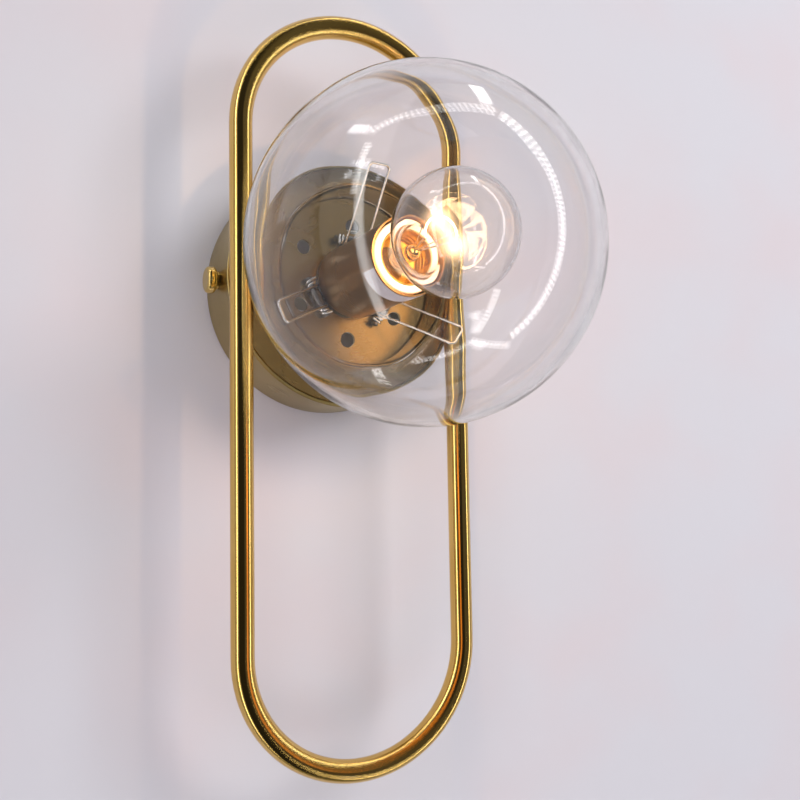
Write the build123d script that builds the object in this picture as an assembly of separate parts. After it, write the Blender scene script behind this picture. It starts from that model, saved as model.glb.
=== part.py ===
"""Globe wall sconce: a brass oval loop and a round canopy that carry a clear glass globe on three
sprung wire clips, with a metal-sleeved porcelain lampholder and a round filament bulb inside.

Millimetres. The origin is on the wall plane at the canopy's axis, +Z is up and the light faces -Y.
Every piece is drawn in the light's own frame first: x to the right, y up, z out of the wall.
The last step turns that frame onto the wall.
"""
import math
import os

from build123d import *

# ---- canopy -------------------------------------------------------------------------------------
CANOPY_RADIUS = 65.0
CANOPY_DEPTH = 38.0
CANOPY_WALL = 1.5
CANOPY_WALL_GAP = 0.3  # the shell's rim stops just short of the wall
CANOPY_RIM_CHAMFER = 0.3
RIM_GROOVE = 0.45  # dark line between the shell and its front plate
PLATE_THICKNESS = 2.0
PLATE_CHAMFER = 0.25
LEDGE_WIDTH = 3.5
LEDGE_THICKNESS = 1.5
VENT_COUNT = 6
VENT_RADIUS = 3.95
VENT_RING_RADIUS = 31.0
VENT_START_ANGLE = 26.0

# ---- wall bracket and thumb screws --------------------------------------------------------------
BRACKET_THICKNESS = 2.0
BRACKET_WIDTH = 22.0
EAR_WIDTH = 14.0
EAR_GAP = 0.9  # between an ear and the inside of the canopy
THUMB_SCREW_DEPTH = 21.0  # from the wall to the screw's axis
THUMB_SHANK_RADIUS = 2.0
THUMB_SHANK_PAST_EAR = 3.0
THUMB_SHOULDER_GAP = 0.1  # between a shoulder and the canopy
THUMB_SHOULDER_RADIUS = 4.6
THUMB_SHOULDER_LENGTH = 1.4
KNOB_RADIUS = 6.8
KNOB_THICKNESS = 5.0
KNOB_ROUNDING = 1.8
NOTCH_WIDTH = 5.0
WALL_SLOT_SPACING = 76.0
WALL_SLOT_WIDTH = 5.0
WALL_SLOT_LENGTH = 14.0
CABLE_HOLE_RADIUS = 9.0
EARTH_SCREW_X = 20.0
EARTH_SCREW_RADIUS = 2.0
EARTH_SCREW_WALL_GAP = 0.2
EARTH_HEAD_RADIUS = 3.8
EARTH_HEAD_HEIGHT = 2.4
EARTH_WASHER_SIZE = 8.0
EARTH_WASHER_THICKNESS = 1.0

# ---- oval loop ----------------------------------------------------------------------------------
LOOP_TUBE_RADIUS = 5.8
LOOP_TUBE_WALL = 1.0
LOOP_PAST_CANOPY = 0.55  # how far each leg reaches out past the canopy
LOOP_WIDTH = 2 * (CANOPY_RADIUS + LOOP_PAST_CANOPY)
LOOP_HEIGHT = 392.0
LOOP_DROP = 55.5  # from the canopy's axis down to the loop's middle
LOOP_SCREW_RADIUS = 1.5
LOOP_SCREW_HEAD_RADIUS = 2.75
LOOP_SCREW_HEAD_HEIGHT = 2.0
LOOP_SCREW_END_GAP = 0.4  # the screws stop short of the tube's middle
INSERT_RADIUS = 3.2

# ---- glass globe --------------------------------------------------------------------------------
GLOBE_RADIUS = 80.0
GLOBE_WALL = 2.5
GLOBE_CENTRE_HEIGHT = 86.0  # heights are measured from the front of the canopy plate
NECK_RADIUS = 48.0
NECK_FLARE_RADIUS = 7.0
GLOBE_SEAT_GAP = 0.3

# ---- clips --------------------------------------------------------------------------------------
CLIP_COUNT = 3
CLIP_START_ANGLE = 86.0
CLIP_WIRE_RADIUS = 0.65
CLIP_ARM_SPACING = 11.0
CLIP_CORNER_RADIUS = 2.5
CLIP_COIL_TURNS = 2
CLIP_COIL_PITCH = 1.85
CLIP_TAIL = 3.0
CLIP_PIN_RADIUS = 1.5
CLIP_PIN_PLAY = 0.25
CLIP_PIVOT_RADIUS = 22.0
CLIP_PIVOT_HEIGHT = 3.6
CLIP_TIP_RADIUS = 55.5
CLIP_GLASS_GAP = 0.4
PIN_HEAD_RADIUS = 2.2
PIN_HEAD_THICKNESS = 0.8
PIN_END_PLAY = 0.3
CARRIER_RADIUS = 18.5
CARRIER_THICKNESS = 1.5
LUG_RADIUS = 2.6
LUG_SIDE_GAP = 0.9
LUG_ROOT = 4.0  # how far a lug's foot runs in under the disc's edge

# ---- lampholder ---------------------------------------------------------------------------------
SLEEVE_RADIUS = 19.0
SLEEVE_WALL = 0.8
SLEEVE_HEIGHT = 70.0
SLEEVE_FOOT_ROUNDING = 4.0
LABEL_THICKNESS = 0.15
LABEL_FROM_ANGLE = 203.0
LABEL_TO_ANGLE = 294.0
LABEL_LOW = 57.0
LABEL_WIDTH = 11.5
PORCELAIN_RADIUS = 17.4
PORCELAIN_RECESS = 1.6
PORCELAIN_HEIGHT = 46.4
PORCELAIN_FLOOR = 16.0
PORCELAIN_ROUNDING = 1.5
SOCKET_BORE_RADIUS = 14.05
SOCKET_LIP_RADIUS = 13.75
SOCKET_LIP_HEIGHT = 2.5
NIPPLE_RADIUS = 5.0
NIPPLE_BORE_RADIUS = 3.6
NIPPLE_INSIDE = 8.5  # length behind the back of the plate
NIPPLE_ABOVE_NUT = 1.0
NUT_FLATS = 14.0
NUT_THICKNESS = 3.0
WASHER_RADIUS = 8.5
WASHER_THICKNESS = 0.8
EARTH_TAG_RADIUS = 8.0
EARTH_TAG_REACH = 17.0
EARTH_TAG_WIDTH = 5.0
STRAP_THICKNESS = 1.2
STRAP_WIDTH = 14.0
STRAP_HALF_LENGTH = 13.0
STRAP_TAB = 6.5
HOLDER_SCREW_X = 9.6
HOLDER_SCREW_RADIUS = 1.5
HOLDER_SCREW_HEAD_RADIUS = 2.6
HOLDER_SCREW_HEAD_HEIGHT = 1.8
HOLDER_SCREW_SUNK = 0.2  # head below the socket floor, and its play in the well
HOLDER_SCREW_PAST_STRAP = 1.5
SHELL_FOOT_RADIUS = 8.2
CONTACT_WIDTH = 5.0
CONTACT_THICKNESS = 0.5
CONTACT_TAIL = 2.0  # past the rivet
CONTACT_FOLD_Y = 1.5
CONTACT_OVERHANG = 3.2
CONTACT_GAP = 0.2  # between the strip and the bulb
CENTRE_RIVET_Y = -5.0
SHELL_RIVET_Y = 11.2
RIVET_RADIUS = 1.1
TERMINAL_SIZE = 5.6
TERMINAL_BORE_SHARE = 0.6  # of the terminal's height
TERMINAL_SCREW_RADIUS = 1.3
TERMINAL_SCREW_GAP = 0.1  # between the screw's end and the wire
TERMINAL_SCREW_PROUD = 1.2
SLOT_WIDTH = 0.8  # driver slots of the larger screws
SLOT_DEPTH = 0.8
SMALL_SLOT_WIDTH = 0.6

# ---- screw thread of the cap, in ring form, and the shell that takes it --------------------------
THREAD_PITCH = 3.629
THREAD_MEAN_RADIUS = 12.6
THREAD_DEPTH = 0.5
THREAD_PLAY = 0.3
CAP_TURNS = 4
SHELL_TURNS = 5
SHEET = 0.35  # sheet metal of the cap and of the shell

# ---- bulb ---------------------------------------------------------------------------------------
BULB_RADIUS = 27.5
BULB_LENGTH = 98.0
BULB_STAND = 5.0  # from the socket's floor to the bulb's contact
BULB_WALL = 0.8
BULB_NECK_RADIUS = 12.0
BULB_NECK_BLEND = 16.0
BULB_NECK_PLAY = 0.3  # between the glass and the inside of the cap's thread
CAP_SKIRT_RADIUS = 13.2
CAP_SKIRT_LENGTH = 5.0
CAP_SHOULDER_RISE = 1.2
CAP_FOOT_RADIUS = 7.8
CAP_FOOT_DROP = 1.6
CAP_FOOT_TAPER = 0.8
CAP_INSULATOR_HEIGHT = 4.2
INSULATOR_TOP_DROP = 0.6
CAP_CONTACT_RADIUS = 4.6
CAP_CONTACT_HEIGHT = 1.2
CAP_CONTACT_ROUNDING = 0.8
STEM_RADIUS = 4.0
STEM_TIP_RADIUS = 2.4
STEM_FOOT_RISE = 1.0  # above the foot of the envelope
STEM_FLARE_HEIGHT = 4.0
STEM_WALL = 1.0
STEM_PINCH = 4.0  # length of the pressed top
STEM_ABOVE_CAP = 10.0
LEAD_IN_RADIUS = 0.4
LEAD_IN_SPREAD = 7.0
LEAD_IN_ROOT = 1.2  # from the axis, where the wires enter the stem
LEAD_IN_SUNK = 3.0
LEAD_IN_RISE = 2.0  # above the stem, where the wires turn out
SUPPORT_ANGLES = (30.0, 90.0, 150.0)
SUPPORT_ROOT = 0.9
SUPPORT_SUNK = 2.0
SUPPORT_RADIUS = 0.25
FILAMENT_RADIUS = 0.45
FILAMENT_RING_RADIUS = 10.0
FILAMENT_BEHIND_CENTRE = 12.5  # from the middle of the envelope back to the filament

# ---- wiring inside the canopy -------------------------------------------------------------------
BLOCK_LENGTH = 28.0
BLOCK_WIDTH = 16.0
BLOCK_HEIGHT = 12.0
BLOCK_Y = 37.0
BLOCK_WAYS = 3
BLOCK_WAY_SPACING = 9.0
BLOCK_BORE_RADIUS = 2.2
BLOCK_BORE_SHARE = 0.45  # of the block's height, from its mounting face to the bores
BLOCK_SCREW_RADIUS = 1.6
BLOCK_SCREW_SUNK = 0.8
TUBE_INSET = 1.5  # the lining tubes stop short of the block's ends
PAD_INSET = 1.0
PAD_THICKNESS = 1.0
LEAD_RADIUS = 1.1
LEAD_PLAY = 0.3  # of a lead in a tube or in the nipple
LEAD_SAG = 1.0  # towards the wall, where a lead leaves the block
LEAD_IN_TERMINAL = 1.5
NIPPLE_SHARE = 0.6  # of the free half bore, how far a lead stands off the nipple's axis each way
EARTH_LEAD_X = 14.5  # where the earth lead meets its tag
CORNER_SHARE = 0.45  # of the shorter run, taken up by the arc at a lead's corner
LEAD_DROP_Y = 20.0  # where the leads turn away from the block
FIT = 0.05  # radial clearance of plain fits
OVERLAP = 0.5  # how far joined shapes of one piece run into each other
CUT_PAST = 1.0  # how far a cutter runs past the faces it cuts

# ---- places worked out from the sizes above -----------------------------------------------------
SHELL_BORE = CANOPY_RADIUS - CANOPY_WALL
PLATE_RADIUS = SHELL_BORE - RIM_GROOVE
PLATE_BACK = CANOPY_DEPTH - PLATE_THICKNESS
LOOP_HALF_WIDTH = LOOP_WIDTH / 2 - LOOP_TUBE_RADIUS
LOOP_STRAIGHT_HALF = LOOP_HEIGHT / 2 - LOOP_TUBE_RADIUS - LOOP_HALF_WIDTH
LOOP_DEPTH = CANOPY_DEPTH + LOOP_TUBE_RADIUS
CARRIER_TOP = CANOPY_DEPTH + CARRIER_THICKNESS
SLEEVE_FLOOR_TOP = CARRIER_TOP + SLEEVE_WALL
SLEEVE_TOP = CANOPY_DEPTH + SLEEVE_HEIGHT
PORCELAIN_TOP = SLEEVE_TOP - PORCELAIN_RECESS
PORCELAIN_BASE = PORCELAIN_TOP - PORCELAIN_HEIGHT
SOCKET_FLOOR = PORCELAIN_BASE + PORCELAIN_FLOOR
STRAP_TOP = SLEEVE_FLOOR_TOP + STRAP_THICKNESS
NIPPLE_FROM = PLATE_BACK - NIPPLE_INSIDE
NIPPLE_TO = STRAP_TOP + NUT_THICKNESS + NIPPLE_ABOVE_NUT
GLOBE_CENTRE = CANOPY_DEPTH + GLOBE_CENTRE_HEIGHT
BULB_BOTTOM = SOCKET_FLOOR + BULB_STAND
BULB_CENTRE = BULB_BOTTOM + BULB_LENGTH - BULB_RADIUS
CAP_THREAD_FROM = BULB_BOTTOM + CAP_CONTACT_HEIGHT + CAP_INSULATOR_HEIGHT
CAP_THREAD_TO = CAP_THREAD_FROM + CAP_TURNS * THREAD_PITCH
CAP_TOP = CAP_THREAD_TO + CAP_SKIRT_LENGTH
SHELL_THREAD_FROM = CAP_THREAD_TO - SHELL_TURNS * THREAD_PITCH
COIL_RADIUS = CLIP_PIN_RADIUS + CLIP_PIN_PLAY + CLIP_WIRE_RADIUS
CLIP_PIVOT_DEPTH = CANOPY_DEPTH + CLIP_PIVOT_HEIGHT
BLOCK_FRONT = PLATE_BACK - PAD_THICKNESS
BLOCK_AXIS = BLOCK_FRONT - BLOCK_HEIGHT * BLOCK_BORE_SHARE
TERMINAL_LOW = PORCELAIN_BASE - TERMINAL_SIZE
BULB_FOOT = CAP_THREAD_FROM + THREAD_PITCH
BULB_FOOT_RADIUS = THREAD_MEAN_RADIUS - THREAD_DEPTH - SHEET - BULB_NECK_PLAY
STEM_TOP = CAP_TOP + STEM_ABOVE_CAP
FILAMENT_DEPTH = BULB_CENTRE - FILAMENT_BEHIND_CENTRE


def clip_geometry():
    """Arm length and rest angle that put the clip's tip against the inside of the globe."""
    reach = GLOBE_RADIUS - GLOBE_WALL - CLIP_GLASS_GAP - CLIP_WIRE_RADIUS
    tip_height = GLOBE_CENTRE_HEIGHT - math.sqrt(reach**2 - CLIP_TIP_RADIUS**2)
    across = CLIP_TIP_RADIUS - CLIP_PIVOT_RADIUS
    up = tip_height - CLIP_PIVOT_HEIGHT
    direct = math.hypot(across, up)
    length = math.sqrt(direct**2 - COIL_RADIUS**2)
    angle = math.degrees(math.atan2(up, across) - math.asin(COIL_RADIUS / direct))
    return length, angle


CLIP_ARM_LENGTH, CLIP_REST_ANGLE = clip_geometry()


# ---- small helpers ------------------------------------------------------------------------------
def disc(radius, low, high, centre=(0, 0)):
    """A solid cylinder along z between two depths."""
    return Pos(centre[0], centre[1], low) * Cylinder(
        radius, high - low, align=(Align.CENTER, Align.CENTER, Align.MIN)
    )


def tube(outer, inner, low, high, centre=(0, 0)):
    """A ring or tube along z between two depths."""
    return disc(outer, low, high, centre) - disc(inner, low - CUT_PAST, high + CUT_PAST, centre)


def block(x_from, x_to, y_from, y_to, z_from, z_to):
    """A box between two corners."""
    size = (x_to - x_from, y_to - y_from, z_to - z_from)
    return Pos(x_from, y_from, z_from) * Box(*size, align=(Align.MIN, Align.MIN, Align.MIN))


def side_disc(radius, x_from, x_to, y=0.0, z=0.0):
    """A solid cylinder along x between two places."""
    turned = Rot(0, 90, 0) * Cylinder(radius, x_to - x_from, align=(Align.CENTER, Align.CENTER, Align.MIN))
    return Pos(x_from, y, z) * turned


def spun(edges):
    """Turns a closed outline of (radius, depth) edges once round the light's axis."""
    outline = make_face(Plane.XZ * Wire(edges))
    return revolve(outline, Axis.Z, 360)


def spun_points(points):
    """Turns a closed polygon of (radius, depth) points once round the light's axis."""
    return spun(Polyline(*points, close=True).edges())


def wire_along(edges, radius):
    """A round wire swept along a smooth path of lines and arcs."""
    path = Wire(edges)
    start = Plane(origin=path @ 0, z_dir=path % 0)
    return sweep(start * Circle(radius), path=path)


def rounded_route(points):
    """A path of straight runs with an arc at each corner, each nearly as large as its runs allow."""
    corners = [Vector(*p) for p in points]
    radii = []
    for before, corner, after in zip(corners, corners[1:], corners[2:]):
        turn = (corner - before).get_angle(after - corner)
        run = min((corner - before).length, (after - corner).length)
        radii.append(CORNER_SHARE * run / math.tan(math.radians(turn / 2)))
    return FilletPolyline(*corners, radius=radii), radii


def mirrored_x(shape):
    return mirror(shape, Plane.YZ)


def driver_slot(x_from, x_to, y, face, width, side):
    """Cutter for the slot of a screw whose head ends at a depth; side 1 faces out, -1 faces the wall."""
    low, high = sorted((face - side * SLOT_DEPTH, face + side * CUT_PAST))
    return block(x_from, x_to, y - width / 2, y + width / 2, low, high)


# ---- wall bracket -------------------------------------------------------------------------------
def ear_face():
    """Distance from the axis to the outer face of an ear."""
    return SHELL_BORE - EAR_GAP


def wall_bracket():
    """Flat bar on the wall, its ends bent out as ears that are tapped for the thumb screws."""
    outer = ear_face()
    bar = block(-outer, outer, -EAR_WIDTH / 2, EAR_WIDTH / 2, 0, BRACKET_THICKNESS)
    middle = outer - BRACKET_WIDTH / 2
    bar += block(-middle, middle, -BRACKET_WIDTH / 2, BRACKET_WIDTH / 2, 0, BRACKET_THICKNESS)
    for side in (-1, 1):
        inner = outer - BRACKET_THICKNESS
        low, high = sorted((side * inner, side * outer))
        ear = block(low, high, -EAR_WIDTH / 2, EAR_WIDTH / 2, 0, THUMB_SCREW_DEPTH)
        ear += side_disc(EAR_WIDTH / 2, low, high, z=THUMB_SCREW_DEPTH)
        bar += ear
        hole_from, hole_to = low - CUT_PAST, high + CUT_PAST
        bar -= side_disc(THUMB_SHANK_RADIUS + FIT, hole_from, hole_to, z=THUMB_SCREW_DEPTH)
        slot = extrude(SlotOverall(WALL_SLOT_LENGTH, WALL_SLOT_WIDTH), BRACKET_THICKNESS + 2 * CUT_PAST)
        bar -= Pos(side * WALL_SLOT_SPACING / 2, 0, -CUT_PAST) * slot
    bar -= disc(CABLE_HOLE_RADIUS, -CUT_PAST, BRACKET_THICKNESS + CUT_PAST)
    bar -= disc(EARTH_SCREW_RADIUS, -CUT_PAST, BRACKET_THICKNESS + CUT_PAST, (EARTH_SCREW_X, 0))
    return bar


def bracket_earth_screw():
    """Pan head screw and square washer for the earth wire of the building."""
    centre = (EARTH_SCREW_X, 0)
    head_from = BRACKET_THICKNESS + EARTH_WASHER_THICKNESS
    head_to = head_from + EARTH_HEAD_HEIGHT
    half = EARTH_WASHER_SIZE / 2
    left, right = EARTH_SCREW_X - half, EARTH_SCREW_X + half
    screw = disc(EARTH_SCREW_RADIUS, EARTH_SCREW_WALL_GAP, head_to, centre)
    screw += disc(EARTH_HEAD_RADIUS, head_from, head_to, centre)
    screw -= driver_slot(left, right, 0, head_to, SLOT_WIDTH, 1)
    return screw + block(left, right, -half, half, BRACKET_THICKNESS, head_from)


def thumb_screw():
    """Right-hand thumb screw: threaded shank, shoulder and rounded knob."""
    shoulder_from = CANOPY_RADIUS + THUMB_SHOULDER_GAP
    knob_from = shoulder_from + THUMB_SHOULDER_LENGTH
    knob = side_disc(KNOB_RADIUS, knob_from, knob_from + KNOB_THICKNESS)
    knob = fillet(knob.edges().filter_by(GeomType.CIRCLE), KNOB_ROUNDING)
    shank_from = ear_face() - BRACKET_THICKNESS - THUMB_SHANK_PAST_EAR
    shank = side_disc(THUMB_SHANK_RADIUS, shank_from, shoulder_from + OVERLAP)
    shoulder = side_disc(THUMB_SHOULDER_RADIUS, shoulder_from, knob_from + OVERLAP)
    return Pos(0, 0, THUMB_SCREW_DEPTH) * (shank + shoulder + knob)


# ---- canopy -------------------------------------------------------------------------------------
def canopy_shell():
    """Round drum with an inner ledge for the plate and two notches, open at the wall, for the screws."""
    shell = tube(CANOPY_RADIUS, SHELL_BORE, CANOPY_WALL_GAP, CANOPY_DEPTH)
    shell = chamfer(shell.edges().group_by(Axis.Z)[-1].sort_by(SortBy.LENGTH)[-1], CANOPY_RIM_CHAMFER)
    ledge_inner = SHELL_BORE - LEDGE_WIDTH
    shell += tube(SHELL_BORE + OVERLAP, ledge_inner, PLATE_BACK - LEDGE_THICKNESS, PLATE_BACK)
    for side in (-1, 1):
        x = side * LOOP_HALF_WIDTH
        shell -= disc(LOOP_SCREW_RADIUS + FIT, 0, CANOPY_DEPTH, (x, 0))
    reach = CANOPY_RADIUS + CUT_PAST
    notch = block(-reach, reach, -NOTCH_WIDTH / 2, NOTCH_WIDTH / 2, -CUT_PAST, THUMB_SCREW_DEPTH)
    notch += side_disc(NOTCH_WIDTH / 2, -reach, reach, z=THUMB_SCREW_DEPTH)
    return shell - notch


def front_plate():
    """Flat brass disc with the nipple hole, six vents and the two holes for the loop's screws."""
    plate = disc(PLATE_RADIUS, PLATE_BACK, CANOPY_DEPTH)
    plate = chamfer(plate.edges().group_by(Axis.Z)[-1], PLATE_CHAMFER)
    plate -= disc(NIPPLE_RADIUS + FIT, 0, CANOPY_DEPTH + CUT_PAST)
    step = 360 / VENT_COUNT
    for k in range(VENT_COUNT):
        vent = disc(VENT_RADIUS, 0, CANOPY_DEPTH + CUT_PAST, (VENT_RING_RADIUS, 0))
        plate -= Rot(0, 0, VENT_START_ANGLE + k * step) * vent
    for side in (-1, 1):
        hole = disc(LOOP_SCREW_RADIUS + FIT, 0, CANOPY_DEPTH + CUT_PAST, (side * LOOP_HALF_WIDTH, 0))
        plate -= hole
    return plate


# ---- oval loop ----------------------------------------------------------------------------------
def loop_section():
    return Circle(LOOP_TUBE_RADIUS) - Circle(LOOP_TUBE_RADIUS - LOOP_TUBE_WALL)


def loop_tube():
    """Bent tube: two straight legs and two half rings, with a hole in each leg for its insert."""
    half = LOOP_STRAIGHT_HALF
    leg_plane = Plane(origin=(0, -half, 0), x_dir=(1, 0, 0), z_dir=(0, 1, 0))
    parts = []
    for side in (-1, 1):
        leg = extrude(leg_plane * loop_section(), 2 * half)
        parts.append(Pos(side * LOOP_HALF_WIDTH, 0, 0) * leg)
    end_plane = Plane(origin=(LOOP_HALF_WIDTH, 0, 0), x_dir=(1, 0, 0), z_dir=(0, 1, 0))
    bend = revolve(end_plane * loop_section(), Axis.Z, 180)
    parts.append(Pos(0, half, 0) * bend)
    parts.append(Pos(0, -half, 0) * Rot(0, 0, 180) * bend)
    loop = parts[0] + parts[1] + parts[2] + parts[3]
    loop = Pos(0, -LOOP_DROP, LOOP_DEPTH) * loop
    for side in (-1, 1):
        x = side * LOOP_HALF_WIDTH
        loop -= disc(LOOP_SCREW_RADIUS + FIT, CANOPY_DEPTH - CUT_PAST, LOOP_DEPTH, (x, 0))
    return loop


def loop_inserts():
    """A tapped slug in each leg, shaped to the bore of the tube."""
    bore = LOOP_TUBE_RADIUS - LOOP_TUBE_WALL
    slugs = []
    for side in (-1, 1):
        x = side * LOOP_HALF_WIDTH
        leg = Pos(x, 0, LOOP_DEPTH) * Rot(90, 0, 0) * Cylinder(bore, 2 * INSERT_RADIUS)
        slug = leg & disc(INSERT_RADIUS, CANOPY_DEPTH, LOOP_DEPTH, (x, 0))
        slugs.append(slug - disc(LOOP_SCREW_RADIUS, CANOPY_DEPTH, LOOP_DEPTH + CUT_PAST, (x, 0)))
    return slugs


def loop_screws():
    """Screws from inside the canopy, through ledge and plate, into the inserts."""
    head_top = PLATE_BACK - LEDGE_THICKNESS
    head_low = head_top - LOOP_SCREW_HEAD_HEIGHT
    screws = []
    for side in (-1, 1):
        x = side * LOOP_HALF_WIDTH
        screw = disc(LOOP_SCREW_RADIUS, head_top, LOOP_DEPTH - LOOP_SCREW_END_GAP, (x, 0))
        screw += disc(LOOP_SCREW_HEAD_RADIUS, head_low, head_top, (x, 0))
        reach = LOOP_SCREW_HEAD_RADIUS + CUT_PAST
        screws.append(screw - driver_slot(x - reach, x + reach, 0, head_low, SLOT_WIDTH, -1))
    return screws


# ---- globe --------------------------------------------------------------------------------------
def ball_on_neck(neck, blend, ball, centre):
    """Points of a (radius, depth) line: up a neck, round a blend arc and over a ball to its pole.

    The blend arc touches both the neck and the ball. Gives its start, middle and end, then a point
    of the ball's side and the pole.
    """
    blend_r = neck + blend
    blend_z = centre - math.sqrt((ball + blend) ** 2 - blend_r**2)
    tilt = math.atan2(centre - blend_z, blend_r)
    middle_angle = math.pi - tilt / 2
    start = (neck, blend_z)
    middle = (blend_r + blend * math.cos(middle_angle), blend_z + blend * math.sin(middle_angle))
    end = (ball * math.cos(tilt), centre - ball * math.sin(tilt))
    belly = (ball * math.cos(0.3), centre + ball * math.sin(0.3))
    return start, middle, end, belly, (0.0, centre + ball)


def glass_globe():
    """Clear globe of even wall, flared into an open neck with a rounded lip."""
    seat = CANOPY_DEPTH + GLOBE_SEAT_GAP
    edges = []
    lips = []
    poles = []
    for wall in (0.0, GLOBE_WALL):
        line = ball_on_neck(NECK_RADIUS - wall, NECK_FLARE_RADIUS + wall, GLOBE_RADIUS - wall, GLOBE_CENTRE)
        start, middle, end, belly, pole = line
        lip = (start[0], seat + GLOBE_WALL / 2)
        edges += [Line(lip, start), ThreePointArc(start, middle, end), ThreePointArc(end, belly, pole)]
        lips.append(lip)
        poles.append(pole)
    edges.append(Line(*poles))
    edges.append(ThreePointArc(lips[0], (NECK_RADIUS - GLOBE_WALL / 2, seat), lips[1]))
    return spun(edges)


# ---- clips --------------------------------------------------------------------------------------
def clip_half(side):
    """Centreline of half a hairpin about its pivot, from the tail of its coil to the tip's bend.

    x points out from the axis, y along the pin and z away from the plate. Each turn of the coil is a
    half turn that steps along the pin and a half turn that stays in one plane.
    """
    rest = math.radians(CLIP_REST_ANGLE)

    def around(angle, y):
        return Vector(COIL_RADIUS * math.sin(angle), side * y, COIL_RADIUS * math.cos(angle))

    y = CLIP_ARM_SPACING / 2 + CLIP_COIL_TURNS * CLIP_COIL_PITCH
    edges = [Line(Vector(-CLIP_TAIL, side * y, COIL_RADIUS), around(0, y))]
    for turn in range(CLIP_COIL_TURNS):
        begin = 2 * math.pi * turn
        half = begin + math.pi
        full = begin + 2 * math.pi
        stepped = y - CLIP_COIL_PITCH
        bulge = math.hypot(COIL_RADIUS, CLIP_COIL_PITCH / 2)
        middle = Vector(bulge, side * (y + stepped) / 2, 0)
        edges.append(ThreePointArc(around(begin, y), middle, around(half, stepped)))
        end = full if turn < CLIP_COIL_TURNS - 1 else full - rest
        edges.append(
            ThreePointArc(around(half, stepped), around((half + end) / 2, stepped), around(end, stepped))
        )
        y = stepped
    foot = around(-rest, y)
    along = Vector(math.cos(rest), 0, math.sin(rest))
    inward = Vector(0, -side, 0)
    slack = CLIP_CORNER_RADIUS * (1 - math.sqrt(0.5))
    bend_from = foot + along * (CLIP_ARM_LENGTH - CLIP_CORNER_RADIUS)
    bend_middle = foot + along * (CLIP_ARM_LENGTH - slack) + inward * slack
    bend_to = foot + along * CLIP_ARM_LENGTH + inward * CLIP_CORNER_RADIUS
    edges.append(Line(foot, bend_from))
    edges.append(ThreePointArc(bend_from, bend_middle, bend_to))
    return edges


def clip_path():
    """Centreline of a whole hairpin: two halves joined by the straight tip."""
    one, other = clip_half(1), clip_half(-1)
    return one + [Line(one[-1] @ 1, other[-1] @ 1)] + other


def spring_clip(angle):
    """One sprung hairpin, standing at rest against the inside of the globe."""
    edges = clip_path()
    wire = wire_along(edges, CLIP_WIRE_RADIUS)
    return Rot(0, 0, angle) * Pos(CLIP_PIVOT_RADIUS, 0, CLIP_PIVOT_DEPTH) * wire


def clip_angles():
    return [CLIP_START_ANGLE + k * 360 / CLIP_COUNT for k in range(CLIP_COUNT)]


def coil_outer_y():
    """Half the length that a clip takes up along its pin."""
    return CLIP_ARM_SPACING / 2 + CLIP_COIL_TURNS * CLIP_COIL_PITCH + CLIP_WIRE_RADIUS


def clip_pins():
    """Riveted pins that the coils turn on."""
    half = coil_outer_y() + PIN_END_PLAY
    pin = Rot(90, 0, 0) * Cylinder(CLIP_PIN_RADIUS, 2 * half)
    for side in (-1, 1):
        head = Rot(90, 0, 0) * Cylinder(PIN_HEAD_RADIUS, PIN_HEAD_THICKNESS)
        pin += Pos(0, side * (half + PIN_HEAD_THICKNESS / 2), 0) * head
    pin = Pos(CLIP_PIVOT_RADIUS, 0, CLIP_PIVOT_DEPTH) * pin
    return [Rot(0, 0, angle) * pin for angle in clip_angles()]


def lug_half_width():
    return CLIP_ARM_SPACING / 2 - CLIP_WIRE_RADIUS - LUG_SIDE_GAP


def clip_carrier():
    """Steel disc under the sleeve with a lug for each clip's pin."""
    carrier = disc(CARRIER_RADIUS, CANOPY_DEPTH, CARRIER_TOP)
    half = lug_half_width()
    root = CARRIER_RADIUS - LUG_ROOT
    foot_to = CLIP_PIVOT_RADIUS + LUG_RADIUS
    rise_from = CLIP_PIVOT_RADIUS - LUG_RADIUS
    outline = Polyline(
        (root, CANOPY_DEPTH),
        (foot_to, CANOPY_DEPTH),
        (foot_to, CLIP_PIVOT_DEPTH),
        (rise_from, CLIP_PIVOT_DEPTH),
        (rise_from, CARRIER_TOP),
        (root, CARRIER_TOP),
        close=True,
    )
    lug_plane = Plane(origin=(0, -half, 0), x_dir=(1, 0, 0), z_dir=(0, -1, 0))
    lug = extrude(lug_plane * make_face(outline), -2 * half)
    boss = Rot(90, 0, 0) * Cylinder(LUG_RADIUS, 2 * half)
    hole = Rot(90, 0, 0) * Cylinder(CLIP_PIN_RADIUS + FIT, 2 * (half + CUT_PAST))
    lug += Pos(CLIP_PIVOT_RADIUS, 0, CLIP_PIVOT_DEPTH) * boss
    lug -= Pos(CLIP_PIVOT_RADIUS, 0, CLIP_PIVOT_DEPTH) * hole
    for angle in clip_angles():
        carrier += Rot(0, 0, angle) * lug
    return carrier - disc(NIPPLE_RADIUS + FIT, 0, CARRIER_TOP + CUT_PAST)


# ---- lampholder ---------------------------------------------------------------------------------
def lampholder_sleeve():
    """Spun brass cup with a rounded foot, open at the front."""
    outer = disc(SLEEVE_RADIUS, CARRIER_TOP, SLEEVE_TOP)
    outer = fillet(outer.edges().group_by(Axis.Z)[0], SLEEVE_FOOT_ROUNDING)
    inner = disc(SLEEVE_RADIUS - SLEEVE_WALL, SLEEVE_FLOOR_TOP, SLEEVE_TOP + CUT_PAST)
    inner = fillet(inner.edges().group_by(Axis.Z)[0], SLEEVE_FOOT_ROUNDING - SLEEVE_WALL)
    return outer - inner - disc(NIPPLE_RADIUS + FIT, 0, SLEEVE_FLOOR_TOP + CUT_PAST)


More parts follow.
